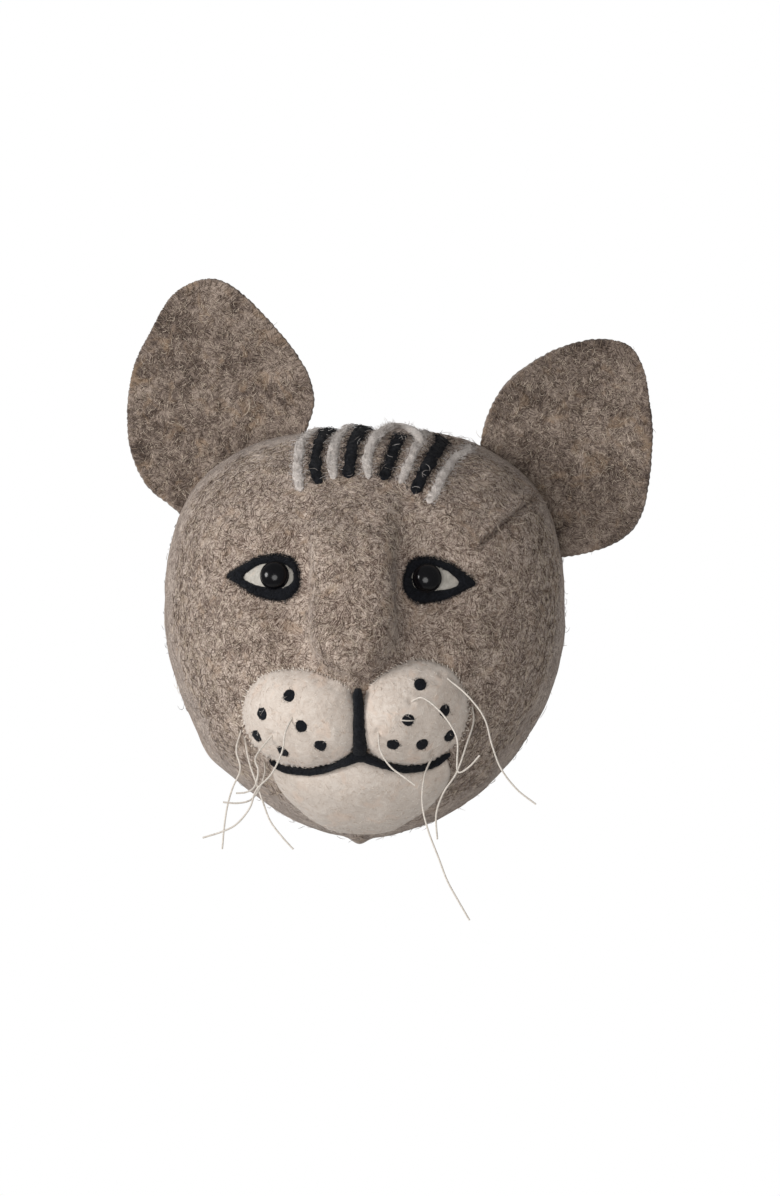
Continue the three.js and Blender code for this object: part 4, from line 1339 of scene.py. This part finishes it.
def eye_dome(side, eye):
    """A safety eye: a domed front with a narrow moulded step, on its flange and post."""
    step_height, step_width = 1.0, 0.5
    post_radius, post_end = 2.2, -15
    dome = EYE_RADIUS - step_width
    profile = [(0.01, post_end), (post_radius, post_end), (post_radius, -0.1), (EYE_RADIUS - 0.25, 0)]
    profile += [(EYE_RADIUS, 0.25), (EYE_RADIUS, step_height - 0.3), (EYE_RADIUS - 0.25, step_height)]
    profile.append((dome + 0.12, step_height))
    for turn in np.linspace(0.04, np.pi / 2, 22)[:-1]:
        rise = (EYE_HEIGHT - step_height) * math.sin(turn)
        profile.append((dome * math.cos(turn), step_height + rise))
    profile.append((0.01, EYE_HEIGHT))
    axis = eye_axis(eye)
    base = np.array([eye["x"], float(face_y(eye["x"], eye["z"])), eye["z"]]) + axis * EYE_STANDOFF
    turn_to = Vector((0, 0, 1)).rotation_difference(Vector(axis)).to_matrix()
    columns = 64
    local = [[r * math.cos(t), r * math.sin(t), h] for r, h in profile for t in round_turn(columns)]
    points = np.array(local) @ np.array(turn_to).T + base
    faces = joined(len(profile), columns)
    faces.append(list(range(columns))[::-1])
    faces.append([(len(profile) - 1) * columns + c for c in range(columns)])
    dome = piece(f"{side}_eye_dome", points, faces, EYE_PLASTIC, "eye_plastic")
    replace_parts(finished(dome), f"{side}_eye")


def eye_white(side, eye):
    shape = almond_at(eye, 0.9)
    white = patch_mesh(
        f"{side}_eye_felt", shape, 16, lambda level: rounded_edge(level, 0.6), 0.8, WHITE_FELT, "white_felt"
    )
    subdivide(white, 1)
    displace(white, lambda points: 0.1 * noise(points, 2.2, 12))
    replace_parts(finished(white), f"{side}_eye_white")


def eye_outline(side, eye):
    """A ring of black wool round the almond, fuller at the lids, drawn out to a point at the corner."""
    levels = [(0, -0.8), (-0.02, 0.2), (0.1, 0.9), (0.32, 1.4), (0.58, 1.6), (0.82, 1.5)]
    levels += [(1.0, 1.1), (1.06, 0.4), (1.0, -0.8)]
    points = np.vstack([on_face(almond_at(eye, share), lift)[0] for share, lift in levels])
    middle = np.array([eye["x"], 0, eye["z"]])
    outward = unit((points - middle) * (1, 0, 1))
    rough = 0.3 * noise(points, 1.8, 90) + 0.22 * noise(points, 0.8, 91)
    points += outward * rough[:, None]
    points[:, 1] -= 0.2 * noise(points, 1.2, 92)
    faces = joined(len(levels), LID_COLUMNS, around=True)
    ring = piece(f"{side}_eye_wool", points, faces, BLACK_WOOL, "black_wool")
    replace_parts(finished(ring), f"{side}_eye_outline")
    return ring


for side, eye in EYES.items():
    eye_dome(side, eye)
    eye_white(side, eye)
outlines = [eye_outline(side, eye) for side, eye in EYES.items()]
philtrum_wool = philtrum()
mouth_wool = mouth()
stripe_rolls = stripes()
spot_wool = spots()


# ---- ears ----

EARS = {
    "left": {
        "shape": outline([
            (-95, 62), (-110.5, 75.5), (-119, 99), (-117, 132), (-108.5, 151), (-95.5, 171.5),
            (-78.5, 178.5), (-66.5, 174.5), (-40, 148), (-29, 131), (-25.5, 116), (-30, 100),
            (-40, 70), (-75, 45),
        ], 400),
        "base": (-65.3, 87),
        "along": (0.857, 0.515),
        "cup": 4,
    },
    "right": {
        "shape": outline([
            (58, 95), (62, 110.5), (70, 124), (85.5, 137), (100.5, 144.5), (118, 148),
            (132.5, 145), (139.5, 134.5), (143, 117), (144.5, 97.5), (138.5, 60), (128, 47.5),
            (103, 39), (80, 40), (60, 62),
        ], 400),
        "base": (83, 72),
        "along": (0.67, -0.742),
        "cup": 9,
    },
}
EAR_Y = -42
EAR_LEAN = 5
EAR_HEIGHT = 100
EAR_HALF_WIDTH = 50
EAR_ROOT = 12
EAR_GRID = 56
EAR_SCALLOP = 3.4


def from_base(ear, flat):
    """How far places in the front view lie along and above the line where an ear is sewn in."""
    dx, dz = (flat - ear["base"]).T
    along, up = ear["along"]
    return dx * along + dz * up, dz * along - dx * up


def ear_y(ear, flat):
    """An ear leans back a little towards its tip and curls forward along both sides."""
    along, height = from_base(ear, flat)
    return EAR_Y + EAR_LEAN * height / EAR_HEIGHT - ear["cup"] * (along / EAR_HALF_WIDTH) ** 2


def ear_layer(side, ear, layer, offset):
    disc, faces, _ = square_grid(EAR_GRID)
    flat, _ = within(ear["shape"], disc)
    waves = 0.9 * noise(in_space(flat), 34, 14) + 0.3 * noise(in_space(flat), 13, 15)
    points = in_space(flat, ear_y(ear, flat) + offset + waves)
    outside = (from_base(ear, flat)[1] >= -EAR_ROOT)[faces].any(axis=1)
    sheet = only_used(points, faces[outside])
    made = piece(f"{side}_ear_{layer}_felt", *sheet, EAR_FELT_LOOK, "ear_felt")
    thicken(made, EAR_FELT)
    subdivide(made, 1)
    sew_down(made, ear["shape"], EAR_SCALLOP, depth=0.4)
    displace(made, lambda p: 0.12 * noise(p, 4, 16) + 0.1 * noise(p, 2, 17))
    return made


def bend_at_base(obj):
    """Sewn into the head at its foot, an ear keeps its shape: this puts the piece's placing into its mesh
    and bends nothing.
    """
    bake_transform(obj)


ear_layers = {}
for side, ear in EARS.items():
    for layer, offset in (("front", 0), ("back", EAR_FELT + EAR_GAP)):
        made = ear_layer(side, ear, layer, offset)
        finished(made, body=None)
        bend_at_base(made)
        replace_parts(made, f"{side}_ear_{layer}")
        ear_layers[side, layer] = made


def ear_stitches(side, ear):
    places, along = every(ear["shape"], EAR_SCALLOP)
    wanted = from_base(ear, places)[1] > 4
    places, along = places[wanted], along[wanted]
    inward, lean = edge_ways(along)
    edge = in_space(places, ear_y(ear, places)) + inward * 0.7
    thick = 2 * EAR_FELT + EAR_GAP
    rise = STITCH_RADIUS * 0.6
    stops = [(3.4, -0.3, 1.1), (2.6, rise, 0.9), (1.0, rise, 0.5), (-0.2, -0.6, 0.2)]
    stops += [(-0.35, -thick / 2, 0), (-0.2, -thick + 0.6, -0.2), (1.0, -thick - rise, -0.5)]
    stops += [(2.6, -thick - rise, -0.9), (3.4, -thick + 0.3, -1.1)]
    group = (threads(edge, (inward, FORWARD, lean), stops), lean[:, None])
    made = stitched(f"{side}_ear_stitches", [group], GREY_THREAD, "ear_felt", body=None)
    bend_at_base(made)


for side, ear in EARS.items():
    ear_stitches(side, ear)


# ---- the back ----

POCKET = {"half_width": 18, "top": 80, "bottom": 24, "corner": 5}


def head_ring(stretch, count):
    return head_points(round_turn(count), np.full(count, stretch))


BACK_OUTLINE = head_ring(2.0, 360)[:, [0, 2]]


def pocket_outline():
    """The rounded rectangle cut in the back felt for the hanger."""
    middle_z = (POCKET["top"] + POCKET["bottom"]) / 2
    half_height = (POCKET["top"] - POCKET["bottom"]) / 2
    corner, clearance = POCKET["corner"], 0.6
    points = []
    for quarter, (sign_x, sign_z) in enumerate(((1, 1), (-1, 1), (-1, -1), (1, -1))):
        turn = np.linspace(0, np.pi / 2, 8) + quarter * np.pi / 2
        x = sign_x * (POCKET["half_width"] + clearance - corner) + corner * np.cos(turn)
        z = middle_z + sign_z * (half_height + clearance - corner) + corner * np.sin(turn)
        points.append(np.stack([x, z], axis=1))
    return evenly(looped(np.vstack(points)), 400)[:-1], np.array([0, middle_z])


def back_panel():
    hole, middle = pocket_outline()
    columns, rings = 220, 22
    angles = round_turn(columns)
    inner, outer = polar(hole, middle, angles), polar(BACK_OUTLINE, middle, angles)
    points = []
    for share in np.arange(rings + 1) / rings:
        flat = mix(inner, outer, share)
        sag = 0.225 * noise(in_space(flat), 30, 18) * np.clip(4 * (1 - share), 0, 1)
        points.append(in_space(flat, sag - 0.55))
    faces = joined(rings + 1, columns)
    panel = piece("back_panel_felt", np.vstack(points), faces, GREY_FELT, "grey_felt")
    thicken(panel, BACK_FELT - 0.7)
    subdivide(panel, 1)
    displace(panel, lambda p: 0.1 * noise(p, 4, 19))
    finished(panel)
    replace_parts(panel, "back_felt")


def seam_stitches():
    """The slanted stitches that close the seam between face and rear, and those round the back."""
    seam, normals = laid_on_skin(head_ring(SEAM, 150), 0)
    ahead = unit(np.roll(seam, -1, axis=0) - np.roll(seam, 1, axis=0))
    stops = [(-3.4, -0.25, -0.96), (-2.6, 0.6, -0.84), (-1, 0.55, -0.36), (0, 0.25, 0)]
    stops += [(1, 0.55, 0.36), (2.6, 0.6, 0.84), (3.4, -0.25, 0.96)]
    seam_group = (threads(seam, (BACKWARD, normals, ahead), stops), ahead[:, None])
    rim, along = every(BACK_OUTLINE, 4.0)
    inward, lean = edge_ways(along)
    stops = [(3.2, -1.2, 1.0), (2.6, -0.3, 0.8), (1.0, -0.2, 0.4), (-0.3, -0.9, 0)]
    stops += [(-0.7, -2.6, -0.3), (-1.0, -4.6, -0.7), (-0.3, -5.4, -1.0)]
    rim_group = (threads(in_space(rim), (inward, BACKWARD, lean), stops), lean[:, None])
    stitched("seam_stitches", [seam_group, rim_group], GREY_THREAD, "grey_felt")


back_panel()
seam_stitches()


def stray_stitch():
    """The one white stitch that crosses a dark spot on the right pad."""
    x, z = SPOTS["right"][2]
    across = np.linspace(-3.4, 3.2, 9)
    path, normals = cast(pad_trees["right"], x + across, np.full(9, z - 0.2))
    path += normals * (0.95 * (1 - (across / 3.5) ** 2) - 0.1)[:, None]
    points, faces = tubes(path[None], normals[None], 0.34, 0.3, 10)
    finished(piece("stray_stitch", points, faces, WHISKER_THREAD, "thread"))


rims = [rim_stitches(pad_trees[side], shape) for side, shape in PADS.items()]
stitched("muzzle_stitches", rims, CREAM_THREAD, "cream_felt")
stray_stitch()


# ---- whiskers ----

WHISKER_DIAMETER = 0.9
WHISKER_DROP = 0.45


def whisker(name, flat, hang):
    """A thread that leaves its pad and hangs, always in front of the felt."""
    side = name.split("_")[0]
    flat = np.array(flat, float)
    start_y = cast(pad_trees[side], *flat[:1].T)[0][0, 1]
    y = mix(hang, start_y - WHISKER_DIAMETER, WHISKER_DROP ** np.arange(len(flat)))
    y[0] = start_y + WHISKER_DIAMETER / 2
    path = curve_through(in_space(flat, y), 60)
    for tree in (*pad_trees.values(), skin):
        for n in range(3, len(path)):
            hit = tree.ray_cast(Vector((path[n, 0], IN_FRONT, path[n, 2])), Vector(BACKWARD))[0]
            if hit is not None:
                path[n, 1] = min(path[n, 1], hit.y - WHISKER_DIAMETER * 0.6)
    curve = bpy.data.curves.new(f"{name}_thread", "CURVE")
    curve.dimensions = "3D"
    curve.bevel_depth = WHISKER_DIAMETER / 2 * MM
    curve.bevel_resolution = 3
    curve.use_fill_caps = True
    spline = curve.splines.new("POLY")
    spline.points.add(len(path) - 1)
    for point, place in zip(spline.points, path * MM):
        point.co = (*place, 1)
    curve.materials.append(WHISKER_THREAD)
    obj = in_scene(f"{name}_thread", curve)
    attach(obj, "head")
    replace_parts(obj, name)


for name, (flat, hang) in WHISKERS.items():
    whisker(name, flat, hang)


# ---- loose fibres ----


# A place inside the head: the felt's outer side faces away from it.
HEART = np.array([0, -60, -5])


def sample(obj, count, random, wanted=None):
    """Places spread evenly over a piece where it is wanted, and the normals there."""
    mesh = obj.data
    mesh.calc_loop_triangles()
    points = coordinates(mesh)
    corners = np.zeros(len(mesh.loop_triangles) * 3, np.int32)
    mesh.loop_triangles.foreach_get("vertices", corners)
    a, b, c = (points[corners[n::3]] for n in range(3))
    facing = np.cross(b - a, c - a)
    area = np.linalg.norm(facing, axis=1)
    if wanted is not None:
        area = area * wanted((a + b + c) / 3, unit(facing))
    pick = random.choice(len(area), count, p=area / area.sum())
    u, v = random.random((2, count, 1))
    flip = u + v > 1
    u, v = np.where(flip, 1 - u, u), np.where(flip, 1 - v, v)
    return a[pick] + u * (b - a)[pick] + v * (c - a)[pick], unit(facing)[pick]


HAIR_STEPS = 5
HAIR_SIDES = 3
# Pale hairs that lie across each black stripe.
STRAY_HAIRS = 10


def hairs_on(name, roots, random, look, slot, long, radius, lift, curl, body="head", heading=None):
    """Fine curved fibres on a piece: each runs along the surface, bends, and stands a little proud."""
    places, normals = roots
    count = len(places)
    spread = random.normal(size=(count, 3))
    if heading is not None:
        spread = heading + 0.45 * spread
    ahead = unit(spread - normals * np.einsum("ij,ij->i", spread, normals)[:, None])
    side = np.cross(normals, ahead)
    share = np.linspace(0, 1, HAIR_STEPS)
    size = (np.asarray(long) * np.exp(random.normal(0, 0.35, count)))[:, None]
    turn = random.normal(0, curl, count)[:, None] * share
    forward = np.cumsum(np.cos(turn), axis=1) / HAIR_STEPS * size
    sideways = np.cumsum(np.sin(turn), axis=1) / HAIR_STEPS * size
    highest = np.minimum(random.exponential(lift, count), 4 * lift)[:, None]
    high = highest * np.sin(np.pi * (0.1 + 0.75 * share)) + radius * 0.5
    paths = places[:, None] + ahead[:, None] * forward[..., None]
    paths = paths + side[:, None] * sideways[..., None] + normals[:, None] * high[..., None]
    taper = np.array([0.5, 1, 1, 0.9, 0.4]) * radius
    points, faces = tubes(paths, normals[:, None], taper, taper, HAIR_SIDES)
    made = piece(name, points, faces, look, slot)
    tint = made.data.attributes.new("shade", "FLOAT", "POINT")
    shades = np.repeat(random.random(count), HAIR_STEPS * HAIR_SIDES)
    tint.data.foreach_set("value", shades.astype(np.float32))
    return finished(made, body)


def open_felt(centres, normals):
    """1 on the outside of the face's felt where nothing is sewn over it, or else 0."""
    x, y, z = centres.T
    bare = np.einsum("ij,ij->i", centres - HEART, normals) > 0
    bare &= (y > SEAM_Y) | (normals[:, 1] < -0.3)
    bare &= y < -6
    for eye in EYES.values():
        bare &= np.hypot((x - eye["x"]) / 20, (z - eye["z"]) / 9.5) > 1
    for middle_x, half_width in ((-33, 27), (26, 25)):
        bare &= np.hypot((x - middle_x) / half_width, (z + 42) / 24) > 1
    bare &= np.hypot(x / 42, (z + 83) / 12) > 1
    return bare.astype(float)


def head_hairs():
    random = np.random.default_rng(11)
    style = {"long": 5.0, "radius": 0.11, "lift": 0.08, "curl": 2.8}
    for name, obj, count in (
        ("face_fibres_1", face_felt, 7000),
        ("face_fibres_2", face_felt, 7000),
        ("rear_fibres", rear_felt, 2500),
    ):
        hairs_on(name, sample(obj, count, random, open_felt), random, GREY_HAIRS, "grey_felt", **style)


def forward_only(_, normals):
    return (normals[:, 1] < -0.05).astype(float)


def together(groups):
    return [np.vstack(part) for part in zip(*groups)]


def muzzle_hairs():
    random = np.random.default_rng(12)
    groups = [sample(pads[side], 900, random, forward_only) for side in PADS]
    groups.append(sample(chin, 700, random, forward_only))
    style = {"long": 2.6, "radius": 0.07, "lift": 0.2, "curl": 1.7}
    hairs_on("muzzle_fibres", together(groups), random, CREAM_HAIRS, "cream_felt", **style)


def ear_hairs():
    """Fibres on both sides of each ear, apart from its stitched edge."""
    style = {"long": 3.4, "radius": 0.1, "lift": 0.16, "curl": 1.7}
    for seed, (side, ear) in enumerate(EARS.items()):
        random = np.random.default_rng(20 + seed)

        def inside(centres):
            gaps = [np.hypot(centres[:, 0] - x, centres[:, 2] - z) for x, z in ear["shape"][::4]]
            return np.min(gaps, axis=0) > 4

        def front(centres, normals):
            return forward_only(centres, normals) * inside(centres)

        def back(centres, normals):
            return (normals[:, 1] > 0.3) * inside(centres).astype(float)

        layers = (("front", 4200, random, front), ("back", 1800, random, back))
        groups = [sample(ear_layers[side, layer], *how) for layer, *how in layers]
        name = f"{side}_ear_fibres"
        made = hairs_on(name, together(groups), random, GREY_HAIRS, "ear_felt", body=None, **style)
        bend_at_base(made)


def wool_hairs():
    """Wisps that stand off the needled wool, along the stripes and out of the dark patches."""
    random = np.random.default_rng(30)
    dark, light = [], []
    for path, normals, half_width, height, black in stripe_rolls:
        count = 700 if black else 500
        pick = random.integers(0, len(path), count)
        ahead = unit(np.gradient(path, axis=0))
        sideways = np.cross(ahead, normals)
        across = random.choice((-1, 1), count) * np.clip(random.normal(0.85, 0.35, count), 0, 1.45)
        high = np.sqrt(np.maximum(1 - across**2, 0)) * height
        places = path[pick] + sideways[pick] * (across * half_width)[:, None]
        places = places + normals[pick] * high[:, None]
        (dark if black else light).append((places, normals[pick], ahead[pick], np.full(count, 2.8)))
        if black:
            up = normals[pick[:STRAY_HAIRS]]
            crossing = random.normal(size=(STRAY_HAIRS, 3))
            light.append((places[:STRAY_HAIRS] + up * 0.4, up, crossing, np.full(STRAY_HAIRS, 6.0)))
    needled = [(philtrum_wool, 260, 1.6), (mouth_wool, 420, 1.4)]
    needled += [(ring, 500, 1.8) for ring in outlines] + [(spot, 90, 1.1) for spot in spot_wool]
    for obj, count, long in needled:
        places, normals = sample(obj, count, random, forward_only)
        if obj in (philtrum_wool, mouth_wool):
            heading = np.cross(normals, random.normal(size=(count, 3)))
        else:
            heading = unit(places - coordinates(obj.data).mean(axis=0))
        dark.append((places, normals, heading, np.full(count, long)))
    for eye in EYES.values():
        for share in (0.0, 0.06, 0.12):
            places, normals = on_face(almond_at(eye, share), 0.6)
            along = np.roll(unit(places - np.roll(places, 1, axis=0)), 1, axis=0)
            heading = unit(places - places.mean(axis=0)) + 0.5 * along
            dark.append((places, normals, heading, np.full(len(places), 1.4)))
    for name, group, look, slot in (
        ("black_wisps", dark, BLACK_HAIRS, "black_wool"),
        ("light_wisps", light, LIGHT_HAIRS, "light_wool"),
    ):
        *roots, heading = together([part[:3] for part in group])
        long = np.concatenate([part[3] for part in group])
        style = {"long": long, "radius": 0.1, "lift": 0.3, "curl": 1.2, "heading": heading}
        hairs_on(name, roots, random, look, slot, **style)


head_hairs()
muzzle_hairs()
ear_hairs()
wool_hairs()


# ---- hanger, board and washers ----


def box_mm(node):
    return (np.array(corner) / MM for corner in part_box(node))


def hanger_ring():
    """The ring of bent wire, closed by a butt joint inside the barrel."""
    low, high = box_mm("hanger_ring")
    y = (low[1] + high[1]) / 2
    wire = (high[1] - low[1]) / 2 * 0.98
    top, bottom = high[2] - wire, low[2] + wire
    half_top, half_bottom = high[0] - 1.9, high[0] - 4.4
    corners = [(0, top), (half_top, top), (half_bottom, bottom), (-half_bottom, bottom), (-half_top, top)]
    corners = np.array(corners, float)
    flat = [corners[0]]
    for n, radius in enumerate((1.0, 2.2, 2.2, 1.0), start=1):
        before, here, after = corners[n - 1], corners[n], corners[(n + 1) % len(corners)]
        start = here + unit(before - here) * radius
        end = here + unit(after - here) * radius
        for t in np.linspace(0, 1, 7):
            flat.append((1 - t) ** 2 * start + 2 * t * (1 - t) * here + t * t * end)
    path = evenly(in_space(looped(np.array(flat)), y), 129)
    points, faces = tubes(path[None], BACKWARD, wire, wire, 16)
    ring = piece("hanger_wire", points, faces, STEEL, "steel")
    finished(ring, "hanger_ring")
    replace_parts(ring, "hanger_ring")


def screw(node, name):
    """A countersunk screw with a cross recess, in the place of its CAD solid."""
    low, high = box_mm(node)
    centre_x, centre_z = (low[0] + high[0]) / 2, (low[2] + high[2]) / 2
    radius, top = (high[0] - low[0]) / 2, high[1]
    columns = 48
    turn = round_turn(columns)
    profile = [(radius * share, 0.0) for share in (0.12, 0.3, 0.48, 0.66, 0.84, 0.95)]
    profile += [(radius, -0.12), (radius * 0.98, -0.4), (1.2, -1.5), (1.2, -5.0), (0.1, -5.9)]
    rings = []
    for reach, height in profile:
        x, z = reach * np.cos(turn), reach * np.sin(turn)
        slot_depth = np.where(np.minimum(np.abs(x), np.abs(z)) < 0.36, 1.0, 0.0)
        recess = slot_depth * (reach < radius * 0.7) * (height == 0.0)
        rings.append(np.stack([x + centre_x, top + height - 0.75 * recess, z + centre_z], axis=1))
    faces = [quad[::-1] for quad in joined(len(rings), columns)]
    last = (len(rings) - 1) * columns
    faces.append(list(range(columns)))
    faces.append([last + c for c in range(columns)][::-1])
    made = piece(name, np.vstack(rings), faces, STEEL, "steel")
    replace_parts(finished(made), node)


hanger_ring()
screw("hanger_screw_lower", "screw_lower")
screw("hanger_screw_upper", "screw_upper")
CARRIED = {
    "back_board": FIBREBOARD,
    "hanger_plate": STEEL,
    "left_eye_washer": WASHER_PLASTIC,
    "right_eye_washer": WASHER_PLASTIC,
}
for node, look in CARRIED.items():
    for material_slot in nodes[node].material_slots:
        material_slot.material = look


# ---- room, light and camera ----


def floor():
    """A plain pale disc below the head."""
    count, radius, level = 96, 600, -450
    turn = round_turn(count)
    ring = np.stack([np.cos(turn) * radius, np.sin(turn) * radius, np.full(count, level)], axis=1)
    mesh = bpy.data.meshes.new("floor")
    mesh.from_pydata((ring * MM).tolist(), [], [list(range(count))])
    s = Shader("floor_paint")
    grain = s.noise(s.place(), 60.0, detail=3.0).outputs["Fac"]
    s.set(Base_Color=s.ramp(grain, (0.3, (0.8, 0.8, 0.79)), (0.7, (0.84, 0.84, 0.83))), Roughness=0.8)
    mesh.materials.append(s.material)
    in_scene("floor", mesh)


def backdrop(ambient):
    """White behind the head, and a dimmer even light from all round."""
    world = bpy.data.worlds.new("studio")
    bpy.context.scene.world = world
    world.use_nodes = True
    tree = world.node_tree
    tree.nodes.clear()
    seen = tree.nodes.new("ShaderNodeLightPath")
    both = tree.nodes.new("ShaderNodeMixShader")
    out = tree.nodes.new("ShaderNodeOutputWorld")
    tree.links.new(seen.outputs["Is Camera Ray"], both.inputs[0])
    for socket, colour, strength in ((1, (1.0, 0.985, 0.965, 1), ambient), (2, (1, 1, 1, 1), 1.0)):
        light = tree.nodes.new("ShaderNodeBackground")
        light.inputs["Color"].default_value = colour
        light.inputs["Strength"].default_value = strength
        tree.links.new(light.outputs[0], both.inputs[socket])
    tree.links.new(both.outputs[0], out.inputs["Surface"])


LIT_PLACE = Vector((0, -0.08, 0.01))


def lamp(name, place, size, power, colour):
    data = bpy.data.lights.new(name, "AREA")
    data.shape = "DISK"
    data.size = size
    data.energy = power
    data.color = colour
    obj = in_scene(name, data)
    obj.location = place
    obj.rotation_euler = (LIT_PLACE - Vector(place)).to_track_quat("-Z", "Y").to_euler()


def camera():
    data = bpy.data.cameras.new("camera")
    data.sensor_width = SENSOR
    data.lens = SENSOR * CAMERA_DISTANCE / PICTURE_HEIGHT
    obj = in_scene("camera", data)
    across, up = PICTURE_MIDDLE
    obj.location = (across, LIT_PLACE.y - CAMERA_DISTANCE, up)
    obj.rotation_euler = (math.pi / 2, 0, 0)
    bpy.context.scene.camera = obj


floor()
backdrop(ambient=0.36)
lamp("key", (-2.1, -1.35, 0.45), size=0.9, power=41, colour=(1.0, 0.985, 0.97))
lamp("fill", (-0.4, -2.5, -0.15), size=1.2, power=25, colour=(1.0, 0.98, 0.97))
lamp("behind", (1.6, 2.2, 1.2), size=1.6, power=16, colour=(1.0, 0.98, 0.97))
bpy.context.scene.view_settings.view_transform = "Standard"
camera()
